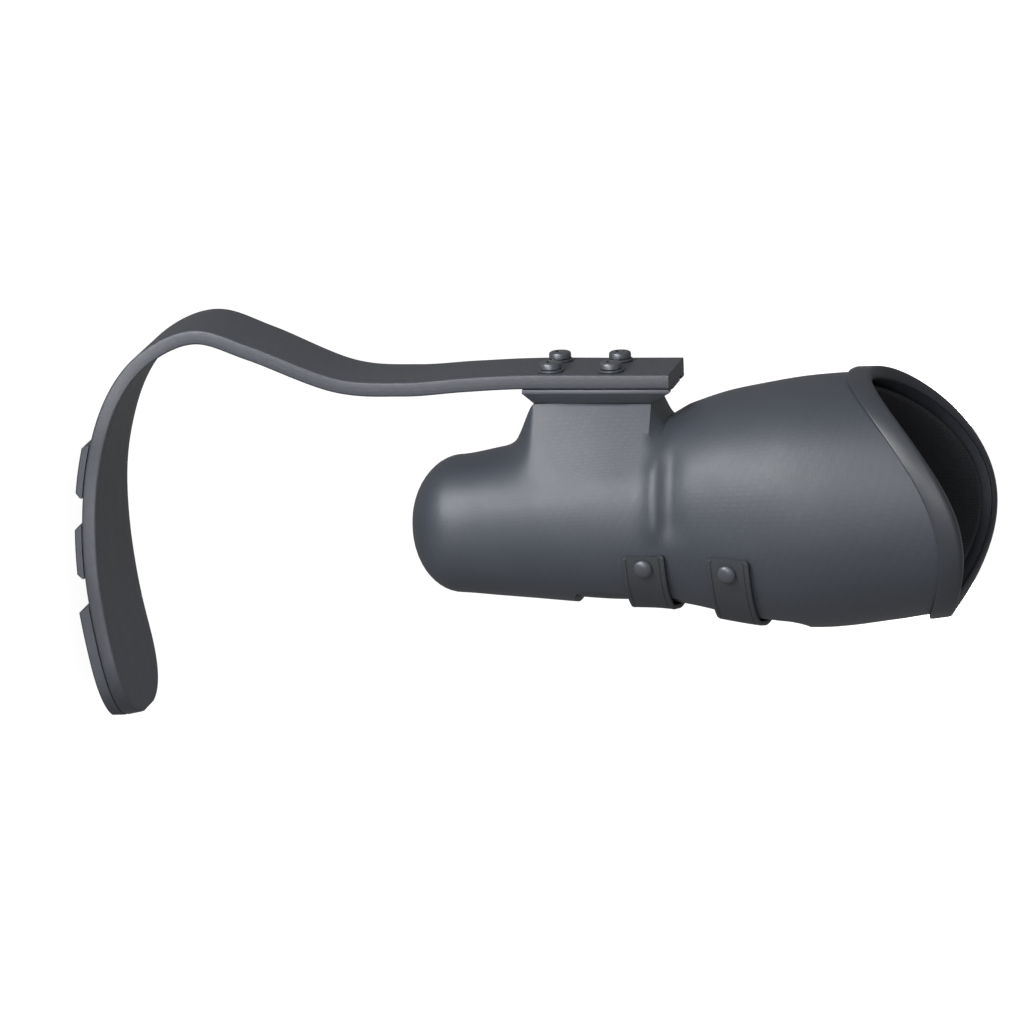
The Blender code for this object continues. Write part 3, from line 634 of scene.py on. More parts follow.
def laminate(name, colour):
    """Carbon cloth under a thin satin coat: faint weave, faint ripple and handling marks."""
    look = Look(name, Metallic=0.0, Specular_IOR_Level=0.58)
    weave, warp = twill(look, TOW_WIDTH)
    cloud = look.noise(26.0, 4.0)
    marks = look.noise(210.0, 5.0, 0.65)
    ripple = look.noise(75.0, 2.0)
    look.tint((weave * 0.16 + warp * 0.14 + cloud * 0.55 + marks * 0.12).clamp(), *shades(colour, 0.13))
    look.roughness(marks * 0.08 + cloud * 0.10 + weave * 0.03 + 0.41)
    look.relief(weave * 0.25 + ripple * 1.1 + marks * 0.10, 0.09)
    return look.material


def moulded(name, colour, rough, grain=1900.0):
    """Moulded plastic: fine spark texture with soft wear."""
    look = Look(name, Metallic=0.0, Specular_IOR_Level=0.42)
    grains = look.noise(grain, 2.0)
    wear = look.noise(60.0, 5.0, 0.6)
    look.tint((grains * 0.30 + wear * 0.60).clamp(), *shades(colour, 0.14))
    look.roughness(wear * 0.16 + grains * 0.08 + (rough - 0.11))
    look.relief(grains, 0.05)
    return look.material


def metal(name, colour, rough, metallic):
    """Blasted and plated metal: fine matt grain with faint scratches."""
    look = Look(name, Metallic=metallic)
    grains = look.noise(2600.0, 2.0)
    wear = look.noise(140.0, 6.0, 0.7)
    look.tint((grains * 0.35 + wear * 0.65).clamp(), *shades(colour, 0.22))
    look.roughness(wear * 0.18 + grains * 0.08 + (rough - 0.13))
    look.relief(grains * 0.7 + wear * 0.5, 0.03)
    return look.material


def hide(name, colour):
    """Coated strap: pebbled grain with creases."""
    look = Look(name, Metallic=0.0, Specular_IOR_Level=0.38)
    pebbles = look.cells(1150.0)
    creases = look.noise(330.0, 4.0, 0.6)
    wear = look.noise(45.0, 4.0)
    look.tint((pebbles * 0.35 + wear * 0.55).clamp(), *shades(colour, 0.2))
    look.roughness(wear * 0.18 + pebbles * 0.08 + 0.44)
    look.relief(pebbles * -0.7 + creases * 0.8, 0.09)
    return look.material


def rubber(name, colour):
    """Tread rubber: matt, finely pitted, a little dusty."""
    look = Look(name, Metallic=0.0, Specular_IOR_Level=0.32)
    pits = look.noise(1500.0, 3.0, 0.6)
    dust = look.noise(70.0, 5.0, 0.65)
    look.tint((pits * 0.2 + dust * 0.75).clamp(), *shades(colour, 0.25))
    look.roughness(dust * 0.16 + 0.66)
    look.relief(pits, 0.08)
    return look.material


def pile(name, colour):
    """Hook tape: dense stubble."""
    look = Look(name, Metallic=0.0, Specular_IOR_Level=0.2)
    hooks = look.cells(900.0)
    drift = look.noise(500.0, 3.0)
    look.tint((hooks * 1.1 + drift * 0.2).clamp(), *shades(colour, 0.45))
    look.roughness(drift * 0.1 + 0.85)
    look.relief(hooks * -1.0 + drift * 0.3, 0.5)
    return look.material


def knit(name, colour):
    """Knitted cover of the liner: columns of small loops."""
    look = Look(name, Metallic=0.0, Specular_IOR_Level=0.25, Sheen_Weight=0.12, Sheen_Roughness=0.5)
    u, v = look.uv()
    column = (u / LOOP_WIDTH).fraction()
    loops = ((v / LOOP_HEIGHT) + (column - 0.5).math("ABSOLUTE")).fraction()
    ridge = (column * math.pi).wave() * (loops * math.pi).wave()
    fuzz = look.noise(900.0, 3.0)
    look.tint((ridge * 0.55 + fuzz * 0.4).clamp(), *shades(colour, 0.3))
    look.roughness(fuzz * 0.12 + 0.72)
    look.relief(ridge + fuzz * 0.3, 0.22)
    return look.material


# ---------------------------------------------------------------- sizes and colours

def length_setting(name, description, value):
    """A length that the panel offers."""
    return bpy.props.FloatProperty(name=name, description=description, default=value, unit="LENGTH")


def colour_setting(name, piece, value):
    """A colour that the panel offers."""
    return bpy.props.FloatVectorProperty(name=name, description=f"Colour of {piece}", subtype="COLOR",
                                         default=value)


class RunningLegSizes(bpy.types.PropertyGroup):
    """Sizes and colours that a user would change."""
    strap_width: length_setting("Strap width", "Width of both straps", 0.0245)
    strap_thickness: length_setting("Strap thickness", "Thickness of both straps", 0.0028)
    blade_thickness: length_setting("Blade thickness", "Thickness of the carbon blade", 0.0082)
    tread_thickness: length_setting(
        "Tread thickness", "Height of the rear and middle tread blocks", 0.0043)
    toe_tread_thickness: length_setting(
        "Toe tread thickness", "Height of the tread block under the toe", 0.0065)
    sipe_depth: length_setting("Tread groove depth", "Depth of the cross grooves in the treads", 0.0007)
    shell_colour: colour_setting("Shell", "the socket's shell", (0.046, 0.052, 0.066))
    # The brim band and the panel share a colour about a fifth darker than the shell's: painted shade for
    # the light that dims towards the brim.
    trim_colour_with_painted_shade: colour_setting("Brim and panel", "the brim band and the panel", (0.039, 0.043, 0.052))
    blade_colour: colour_setting("Blade", "the blade", (0.046, 0.050, 0.062))
    strap_colour: colour_setting("Straps", "the straps", (0.046, 0.050, 0.057))
    metal_colour: colour_setting("Metal", "bolts, rivets and rail", (0.085, 0.091, 0.105))
    tread_colour: colour_setting("Treads", "the tread rubber", (0.070, 0.075, 0.088))
    liner_colour: colour_setting("Liner", "the liner's cover", (0.045, 0.048, 0.057))


# ---------------------------------------------------------------- pieces

class LEG_OT_shell(bpy.types.Operator):
    """Laminated socket shell with its boss, webs, waist ring, window and holes"""
    bl_idname = "leg.shell"
    bl_label = "Socket shell"

    def execute(self, context):
        levels = [("out", z) for z in dome_levels(DOME_TOP - DOME_HEIGHT, DOME_HEIGHT, 14)]
        levels += [("out", z) for z in chain(
            (DOME_TOP, 6), (BOSS_BOTTOM - BOSS_FILLET, 12), (BOSS_BOTTOM - 6, 12),
            (BOSS_BOTTOM + 6, 16), (BOSS_TOP, 3), (BOSS_NOTCH, 10), (345, 20), BRIM_START)]
        levels += [("out fan", share) for share in steps(0, 1, 14)[1:]]
        levels += [("in fan", share) for share in steps(1, 0, 9)]
        levels += [("in", z) for z in chain((BRIM_START - 8, 14), (329, 12), 215)]
        tip, dome = DOME_TOP - DOME_HEIGHT + WALL, DOME_HEIGHT - WALL
        levels += [("in", z) for z in dome_levels(tip, dome, 9)[::-1]]

        def point(angle, row):
            kind, value = row
            if kind == "out":
                return shell_point(angle, value)
            if kind == "in":
                return inner_point(angle, value, WALL)
            z = fan(angle, value)
            return shell_point(angle, z) if kind == "out fan" else inner_point(angle, z, WALL)

        shell = wrap("shell", round_angles(), levels, point, (340, 900))
        cut(shell, self.window(), self.button_hole(), *[self.rivet_hole(side) for side in STRAPS])
        finish_piece(shell, "socket", ["socket_shell"],
                     laminate("shell", sizes().shell_colour), 32.0)
        return {"FINISHED"}

    def window(self):
        """The block that cuts the window, its upright edges rounded."""
        low = to_metres((-WINDOW_HALF_WIDTH, -90, WINDOW_BOTTOM))
        high = to_metres((WINDOW_HALF_WIDTH, -20, WINDOW_TOP))
        cutter = block("window", low, high)
        corners = cutter.data.vertices
        pick(cutter, "EDGE",
             lambda edge: abs(corners[edge.vertices[0]].co.y - corners[edge.vertices[1]].co.y) > 0.01)
        bpy.ops.mesh.bevel(offset=WINDOW_CORNER * MM, segments=10)
        bpy.ops.object.mode_set(mode="OBJECT")
        return cutter

    def button_hole(self):
        """The hole for the release button's bush."""
        side = lock_point(BUTTON_HEIGHT)
        start, end = side + Vector((25, 0, 0)), side + Vector((50, 0, 0))
        return drill("hole", BUSH_BORE, to_metres(start), to_metres(end))

    def rivet_hole(self, side):
        """The hole for one strap rivet."""
        here, way = rivet_seat(side)
        return drill("hole", RIVET_BORE, to_metres(here - way * 12), to_metres(here + way * 12))


def outward(angle, z):
    """Point on the socket's surface and its direction away from the middle line."""
    here = Vector(socket_point(angle, z))
    round_way = Vector(socket_point(angle + 1, z)) - Vector(socket_point(angle - 1, z))
    up_way = Vector(socket_point(angle, z + 1)) - Vector(socket_point(angle, z - 1))
    way = up_way.cross(round_way).normalized()
    middle = Vector((0, section(z)[0], z))
    return here, way if way.dot(here - middle) > 0 else -way


def rivet_seat(side):
    """Where one strap's rivet stands."""
    z, _, angle, _, _ = STRAPS[side]
    return outward(angle, z)


def lock_axis():
    """Direction in which the limb, liner and pin leave the socket."""
    lean = math.radians(LOCK_LEAN)
    return Vector((0, math.sin(lean), math.cos(lean)))


def lock_point(height):
    """A point up the lock's axis."""
    return Vector(LOCK_BASE) + lock_axis() * height


class LEG_OT_brim(bpy.types.Operator):
    """Rounded band over the socket's rim"""
    bl_idname = "leg.brim"
    bl_label = "Brim band"

    profile = ((11, 0.35), (-0.35, 0.35), (-0.35, -4.3), (-1.5, -4.3), (-2.2, -3.6), (-2.5, -2.6),
               (-2.5, 0.8), (-2.1, 1.9), (-1.2, 2.6), (0.2, 2.85), (9.6, 2.9), (10.6, 2.5), (11, 1.7),
               (11, 0.35))

    def execute(self, context):
        def point(angle, corner):
            drop, out = corner
            return socket_point(angle, rim_height(angle) - drop, out)

        brim = wrap("brim", round_angles(), list(self.profile), point, (420, 40))
        # The brim band's darker colour carries painted shade for the light dimming towards the brim.
        finish_piece(brim, "socket", ["brim_band"], moulded("brim", sizes().trim_colour_with_painted_shade, 0.44))
        return {"FINISHED"}


class LEG_OT_panel(bpy.types.Operator):
    """Panel that closes the front window, with rolled edges"""
    bl_idname = "leg.panel"
    bl_label = "Front panel"

    def execute(self, context):
        edge, corner = WINDOW_HALF_WIDTH - PANEL_CLEARANCE, WINDOW_CORNER - PANEL_CLEARANCE
        low, high = WINDOW_BOTTOM + PANEL_CLEARANCE, WINDOW_TOP - PANEL_CLEARANCE
        ends = [corner * (1 - math.cos(math.radians(a))) for a in (0, 15, 30, 45, 60, 75)]
        levels = [low + e for e in ends] + steps(low + corner, high - corner, 40)
        levels += [high - e for e in ends[::-1]]
        rows = [(levels[0], None)] + [(z, "face") for z in levels] + [(levels[-1], None)]

        def point(share, row):
            z, kind = row
            near = min(z - low, high - z, corner)
            half = edge - corner + math.sqrt(max(0.0, corner ** 2 - (corner - near) ** 2))
            face, across = share
            x = half * across
            from_edge = min(half * (1 - abs(across)), z - low, high - z)
            roll = PANEL_ROLL * max(0.0, 1 - from_edge / PANEL_ROLL_WIDTH) ** 2
            deep = WALL if face == "back" or kind is None else PANEL_SETBACK + roll
            centre, depth, width = section(z)
            depth, width = depth - deep, width - deep
            rise = (1 - abs(x / width) ** SECTION_POWER) ** (1 / SECTION_POWER)
            return x, centre - depth * rise, z

        shares = [math.sin(math.radians(a)) for a in steps(-90, 90, 33)]
        loop = [("front", s) for s in shares] + [("back", s) for s in shares[::-1]]
        panel = wrap("front_panel_skin", loop + loop[:1], rows, point, (150, 132))
        # The panel shares the brim band's darkened colour, which carries painted shade.
        finish_piece(panel, "socket", ["front_panel"],
                     moulded("panel", sizes().trim_colour_with_painted_shade, 0.5, 1500.0))
        return {"FINISHED"}


class LEG_OT_rail(bpy.types.Operator):
    """Rail under the blade with bevelled foot and two T-slots"""
    bl_idname = "leg.rail"
    bl_label = "Mounting rail"

    rim = 2.0
    foot = (261.0, 328.0)
    slot, pocket = 6.8, 9.0
    pocket_depths = (66.6, 70.0)
    slot_start, spacing = 259.0, 14.0

    def execute(self, context):
        low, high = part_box("mount_rail")
        rail = block("rail", (low.x, high.y - self.rim * MM, low.z), high)
        self.draw_foot(rail, low)
        for side in (-1, 1):
            x = side * self.spacing * MM
            start = (self.slot_start - SEAT_HEIGHT) * MM
            half, wide = self.slot / 2 * MM, self.pocket / 2 * MM
            deep, ledge = (depth * MM for depth in self.pocket_depths)
            beyond = high.z + 0.01
            cut(rail,
                block("slot", (x - half, ledge - 0.001, start), (x + half, high.y + 0.01, beyond)),
                block("slot", (x - wide, deep, start), (x + wide, ledge, beyond)))
        soften(rail, 0.35)
        look = metal("rail", sizes().metal_colour, 0.46, 0.2)
        finish_piece(rail, "socket", ["mount_rail"], look)
        return {"FINISHED"}

    def draw_foot(self, rail, low):
        """Extrude the underside down to the smaller foot."""
        pick(rail, "FACE", lambda face: face.normal.y < -0.9)
        under = rail.bound_box[0][1]
        bpy.ops.mesh.extrude_region_move(TRANSFORM_OT_translate={"value": (0, low.y - under, 0)})
        bpy.ops.object.mode_set(mode="OBJECT")
        start, end = ((z - SEAT_HEIGHT) * MM for z in self.foot)
        for vertex in rail.data.vertices:
            if vertex.co.y < low.y + 0.001:
                vertex.co.x = math.copysign(BOSS_HALF_WIDTH * MM, vertex.co.x)
                vertex.co.z = start if vertex.co.z < (start + end) / 2 else end


class LEG_OT_blade(bpy.types.Operator):
    """Carbon blade with rounded edges, curved from its clamped run to its toe"""
    bl_idname = "leg.blade"
    bl_label = "Blade"

    def execute(self, context):
        thick = sizes().blade_thickness / MM
        stations = toe_stations(0.0, BLADE_LENGTH - BLADE_END_TRIM, 3.0)
        rows = [(stations[0], 0.0)] + [(d, 1.0) for d in stations] + [(stations[-1], 0.0)]

        def point(corner, row):
            side, inward, face = corner
            distance, full = row
            half = max(blade_half_width(distance), MIN_HALF_WIDTH)
            x = side * (half - inward)
            return blade_point(distance, x, face * thick / 2 * full)

        blade = wrap("blade_spring", self.outline(thick), rows, point, (110, BLADE_LENGTH))
        for bolt in bolt_boxes("blade_bolt"):
            middle = (bolt[0] + bolt[1]) / 2
            cut(blade, drill("hole", BLADE_BORE, (middle.x, 0.070, middle.z), (middle.x, 0.085, middle.z)))
        finish_piece(blade, None, ["blade"], laminate("blade", sizes().blade_colour))
        bend_start, bend_end = to_metres((0, 77, 190)), to_metres((0, 68, 21))
        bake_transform(blade)
        return {"FINISHED"}

    def outline(self, thick, edge=1.3):
        """Closed section: side, distance in from the edge, and share of the half thickness."""
        arc = [math.radians(a) for a in (0, 22.5, 45, 67.5, 90)]
        near_edge = [(edge * (1 - math.cos(a)), (thick / 2 - edge + edge * math.sin(a)) / (thick / 2))
                     for a in arc]
        flat = [(12.0, 1.0), (24.0, 1.0)]
        right_out = [(1, inward, face) for inward, face in near_edge + flat[:1]]
        left_out = [(-1, inward, face) for inward, face in flat[:1] + near_edge[::-1]]
        left_in = [(-1, inward, -face) for inward, face in near_edge + flat[:1]]
        right_in = [(1, inward, -face) for inward, face in flat[:1] + near_edge[::-1]]
        loop = right_out + left_out + left_in + right_in
        return loop + loop[:1]


def bolt_boxes(stem):
    """Boxes of the four numbered nodes of one kind."""
    return [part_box(f"{stem}_{i}") for i in range(1, 5)]


class LEG_OT_treads(bpy.types.Operator):
    """Three rubber tread blocks with chamfered ends and shallow cross grooves"""
    bl_idname = "leg.treads"
    bl_label = "Tread blocks"

    chamfer = 2.5
    groove_every, groove_width = 7.5, 1.3

    def execute(self, context):
        look = rubber("tread", sizes().tread_colour)
        for name, ends in TREADS.items():
            self.tread(name, ends, look)
        return {"FINISHED"}

    def tread(self, name, ends, look):
        """One block under the blade."""
        start = distance_at_rear(ends[0])
        end = BLADE_LENGTH - TREAD_TOE_TRIM if ends[1] is None else distance_at_rear(ends[1])
        near = sizes().blade_thickness / MM / 2 + GAP
        thick = sizes().toe_tread_thickness if name == "front" else sizes().tread_thickness
        full = near + thick / MM - GAP
        sipe = sizes().sipe_depth / MM
        stations = sorted(set(toe_stations(start + self.chamfer, end - self.chamfer, 0.65)))
        rows = [(start, "lid")] + [(start, "end")] + [(d, "run") for d in stations]
        rows += [(end, "end"), (end, "lid")]
        middle = (start + end) / 2

        def point(corner, row):
            across, level = corner
            distance, kind = row
            half = max(blade_half_width(distance) - TREAD_INSET, MIN_HALF_WIDTH)
            deep = near + TREAD_LIP if kind == "end" else full
            if kind == "run" and level == 1 and abs(across) < 0.96:
                phase = (distance - middle) / self.groove_every
                from_groove = abs(phase - round(phase)) * self.groove_every
                inside = min(distance - start, end - distance) > 5.0
                walls = ((0.25, 1.0), (self.groove_width / 2 + 0.2, 0.0))
                deep -= sipe * soft_curve(walls, from_groove) * inside
            deep = near if kind == "lid" or level == 0 else deep
            shoulder = TREAD_SHOULDER if level == 1 and abs(across) > 0.999 and kind != "lid" else 0.0
            x = across * half
            if level == 2:
                deep -= TREAD_RISE
            return blade_point(distance, x - math.copysign(shoulder, across) if shoulder else x, deep)

        face = [(a, 1) for a in (1.0, 0.975, 0.95, 0.9, 0.6, 0.3, 0.0)]
        face += [(-a, level) for a, level in face[-2::-1]]
        back = [(-1.0, 2), (-1.0, 0), (-0.5, 0), (0.0, 0), (0.5, 0), (1.0, 0), (1.0, 2)]
        loop = face + back
        piece = wrap(f"tread_block_{name}", loop + loop[:1], rows, point, (170, end - start))
        finish_piece(piece, "toe", [f"tread_{name}"], look, 30.0)


class LEG_OT_fasteners(bpy.types.Operator):
    """Four low-head bolts with washers and T-nuts"""
    bl_idname = "leg.fasteners"
    bl_label = "Blade fasteners"

    def execute(self, context):
        look = metal("plated_steel", sizes().metal_colour, 0.42, 0.35)
        kinds = (("blade_bolt", self.bolt), ("blade_washer", self.washer), ("rail_nut", self.nut))
        for stem, make in kinds:
            for i, (low, high) in enumerate(bolt_boxes(stem), start=1):
                make(i, low, high, look)
        return {"FINISHED"}

    def foot(self, low, high):
        """The lowest point on a fastener's axis, in millimetres above the ground."""
        middle = (low + high) / 2 / MM
        return Vector((middle.x, low.y / MM, middle.z + SEAT_HEIGHT))

    def bolt(self, i, low, high, look):
        """Round low head with a hexagon socket on a plain shank."""
        tall, head, shank = (high.y - low.y) / MM, (high.x - low.x) / 2 / MM, 3.0
        under = tall - 3.8
        profile = [(0, 0), (shank - 0.6, 0), (shank, 0.6), (shank, under), (head - 0.25, under),
                   (head, under + 0.25), (head, tall - 1.3), (head - 0.35, tall - 0.55),
                   (head - 1.1, tall - 0.12), (head - 2.2, tall), (0, tall)]
        bolt = turned(f"bolt_{i}", profile, self.foot(low, high), (0, 1, 0))
        top = self.foot(low, high) + Vector((0, tall, 0))
        start, end = top - Vector((0, KEY_DEPTH, 0)), top + Vector((0, 2, 0))
        cut(bolt, drill("key", KEY_RADIUS, to_metres(start), to_metres(end), 6))
        finish_piece(bolt, "blade_carriage", [f"blade_bolt_{i}"], look, 30.0)

    def washer(self, i, low, high, look):
        """Flat washer with rounded edges."""
        thick, wide = (high.y - low.y) / MM, (high.x - low.x) / 2 / MM
        edge, bore = 0.22, BOLT_BORE
        profile = [(bore, edge), (bore + edge, 0), (wide - edge, 0), (wide, edge), (wide, thick - edge),
                   (wide - edge, thick), (bore + edge, thick), (bore, thick - edge), (bore, edge)]
        washer = turned(f"washer_{i}", profile, self.foot(low, high), (0, 1, 0))
        finish_piece(washer, "blade_carriage", [f"blade_washer_{i}"], look, 30.0)

    def nut(self, i, low, high, look):
        """T-nut with its threaded hole."""
        nut = block(f"nut_{i}", low, high)
        middle = (low + high) / 2
        reach = Vector((0, 0.006, 0))
        cut(nut, drill("hole", BOLT_BORE, middle - reach, middle + reach))
        soften(nut, 0.25)
        finish_piece(nut, "blade_carriage", [f"rail_nut_{i}"], look, 30.0)


def strap_gap(angle, free):
    """Height of a strap's underside: it dips over the panel and climbs onto the patch."""
    start, end = STRAP_CLIMB
    climb = soft_curve(((free - PATCH_SWEEP - start, 0.0), (free - PATCH_SWEEP - end, 1.0)), angle)
    return STRAP_SEAT + STRAP_LIFT * climb - soft_curve(STRAP_DIP, angle)


class LEG_OT_straps(bpy.types.Operator):
    """Two straps with grooved borders, each running from its rivet to its free end"""
    bl_idname = "leg.straps"
    bl_label = "Straps"

    def execute(self, context):
        look = hide("strap", sizes().strap_colour)
        for side in STRAPS:
            self.strap(side, look)
        return {"FINISHED"}

    def strap(self, side, look):
        """One strap from its riveted end to its free end."""
        middle, fixed, _, fold, free = STRAPS[side]
        width, thick = sizes().strap_width / MM, sizes().strap_thickness / MM
        angles = chain((fixed, 10), (fixed + 4, 100), (free - 8, 20), free)
        rows = [(angles[0], "lid")] + [(a, "run") for a in angles] + [(angles[-1], "lid")]
        reach = math.radians(1) * radius(middle, *section(middle)[1:])

        def point(corner, row):
            across, level = corner
            angle, kind = row
            half = width / 2 - self.rounding((angle - fixed) * reach, 2.0)
            half -= self.rounding((free - angle) * reach, 6.5)
            inward = max(0.0, 1 - abs(across) / (width / 2))
            w = math.copysign(half * (1 - inward), across) if across else 0.0
            level = thick / 2 if kind == "lid" else level
            return socket_point(angle, middle + w, strap_gap(angle, free) + level)

        length = (free - fixed) * reach
        strap = wrap(f"strap_{side}_belt", self.outline(width, thick), rows, point, (58, length))
        finish_piece(strap, None, [f"strap_{side}_tab", f"strap_{side}"], look, 40.0)
        start, end = (to_metres(socket_point(fold + a, middle)) for a in (-2.5, 6.0))
        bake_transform(strap)

    def rounding(self, from_end, corner):
        """How far a side draws in near an end with rounded corners."""
        if from_end >= corner:
            return 0.0
        return corner - math.sqrt(max(0.0, corner ** 2 - (corner - max(from_end, 0.0)) ** 2))

    def outline(self, width, thick):
        """Closed section with eased edges and a pressed line along each border."""
        half = width / 2
        right = [(half - 0.7, 0.0), (half - 0.2, 0.2), (half, 0.7), (half, thick - 0.9),
                 (half - 0.25, thick - 0.25), (half - 0.9, thick), (half - 2.2, thick),
                 (half - 2.55, thick - 0.4), (half - 2.9, thick - 0.4), (half - 3.25, thick),
                 (half * 0.4, thick)]
        left = [(-w, t) for w, t in right[::-1]]
        return right + [(0.0, thick)] + left + [(0.0, 0.0), right[0]]


class LEG_OT_rivets(bpy.types.Operator):
    """Dome rivets of the straps"""
    bl_idname = "leg.rivets"
    bl_label = "Strap rivets"

    def execute(self, context):
        look = metal("rivet", sizes().metal_colour, 0.42, 0.25)
        head, shank = RIVET_HEAD, RIVET_SHANK
        for side in STRAPS:
            here, way = rivet_seat(side)
            _, _, angle, _, free = STRAPS[side]
            base = strap_gap(angle, free) + sizes().strap_thickness / MM + GAP
            profile = [(0, -WALL), (shank - 0.3, -WALL), (shank, -WALL + 0.3), (shank, base),
                       (head - 0.25, base), (head, base + 0.25)]
            for a in range(0, 91, 9):
                turn = math.radians(a)
                profile.append((head * math.cos(turn), base + RIVET_RIM + RIVET_DOME * math.sin(turn)))
            rivet = turned(f"rivet_{side}", profile, here, way)
            finish_piece(rivet, "socket", [f"strap_{side}_rivet"], look, 50.0)
        return {"FINISHED"}


class LEG_OT_patches(bpy.types.Operator):
    """Hook patches under the straps' free ends"""
    bl_idname = "leg.patches"
    bl_label = "Hook patches"

    def execute(self, context):
        look = pile("hook_pile", (0.035, 0.038, 0.045))
        width, thick = sizes().strap_width / MM - 4.0, 1.0
        for side in STRAPS:
            middle, _, _, _, free = STRAPS[side]
            angles = steps(free - PATCH_SWEEP, free - 1.0, 40)
            rows = [(angles[0], 0.5)] + [(a, 1.0) for a in angles] + [(angles[-1], 0.5)]

            def point(corner, row):
                w, level = corner
                angle, full = row
                level = level if full == 1.0 else 0.5 * thick
                return socket_point(angle, middle + w, STRAP_SEAT + level)

            half = width / 2
            right = [(half - 0.3, 0.0), (half, 0.3), (half, 0.7), (half - 0.3, thick),
                     (half / 2, thick)]
            loop = right + [(-w, t) for w, t in right[::-1]]
            patch = wrap(f"hook_patch_{side}", loop + loop[:1], rows, point, (44, 26))
            finish_piece(patch, "socket", [f"strap_{side}_patch"], look)
        return {"FINISHED"}


class LEG_OT_liner(bpy.types.Operator):
    """Soft liner with a rounded top edge and a knitted cover"""
    bl_idname = "leg.liner"
    bl_label = "Liner"

    def execute(self, context):
        inner_inset = LINER_INSET + LINER_THICK
        inner_tip, inner_dome = LINER_TIP + LINER_THICK + 1.5, LINER_DOME - LINER_THICK
        rows = [("out", z) for z in dome_levels(LINER_TIP, LINER_DOME, 10)]
        rows += [("out", z) for z in chain((LINER_TIP + LINER_DOME, 40), BRIM_START)]
        rows += [("out fan", share) for share in steps(0, 1, 9)[1:-1]]
        rows += [("edge", a) for a in range(0, 181, 20)]
        rows += [("in fan", share) for share in steps(1, 0, 9)[1:]]
        rows += [("in", z) for z in chain((BRIM_START - 6, 40), inner_tip + inner_dome)]
        rows += [("in", z) for z in dome_levels(inner_tip, inner_dome, 10)[::-1]]

        def point(angle, row):
            kind, value = row
            if kind == "edge":
                turn = math.radians(value)
                outer = LINER_INSET + read_curve(LINER_EASE, fan(angle, 1, LINER_DROP))
                half = (inner_inset - outer) / 2
                drop = LINER_DROP + LINER_THICK / 2 * (1 - math.sin(turn))
                return inner_point(angle, fan(angle, 1, drop), outer + half * (1 - math.cos(turn)))
            outside = kind.startswith("out")
            z = fan(angle, value, LINER_DROP + LINER_THICK / 2) if kind.endswith("fan") else value
            inset = LINER_INSET + read_curve(LINER_EASE, z) if outside else inner_inset
            if kind.endswith("fan"):
                return inner_point(angle, z, inset)
            tip, dome = (LINER_TIP, LINER_DOME) if outside else (inner_tip, inner_dome)
            return inner_point(angle, value, inset, tip, dome)

        liner = wrap("liner_sleeve", round_angles(), rows, point, (330, 560))
        finish_piece(liner, "worn_liner", ["liner"], knit("liner", sizes().liner_colour), 60.0)
        return {"FINISHED"}


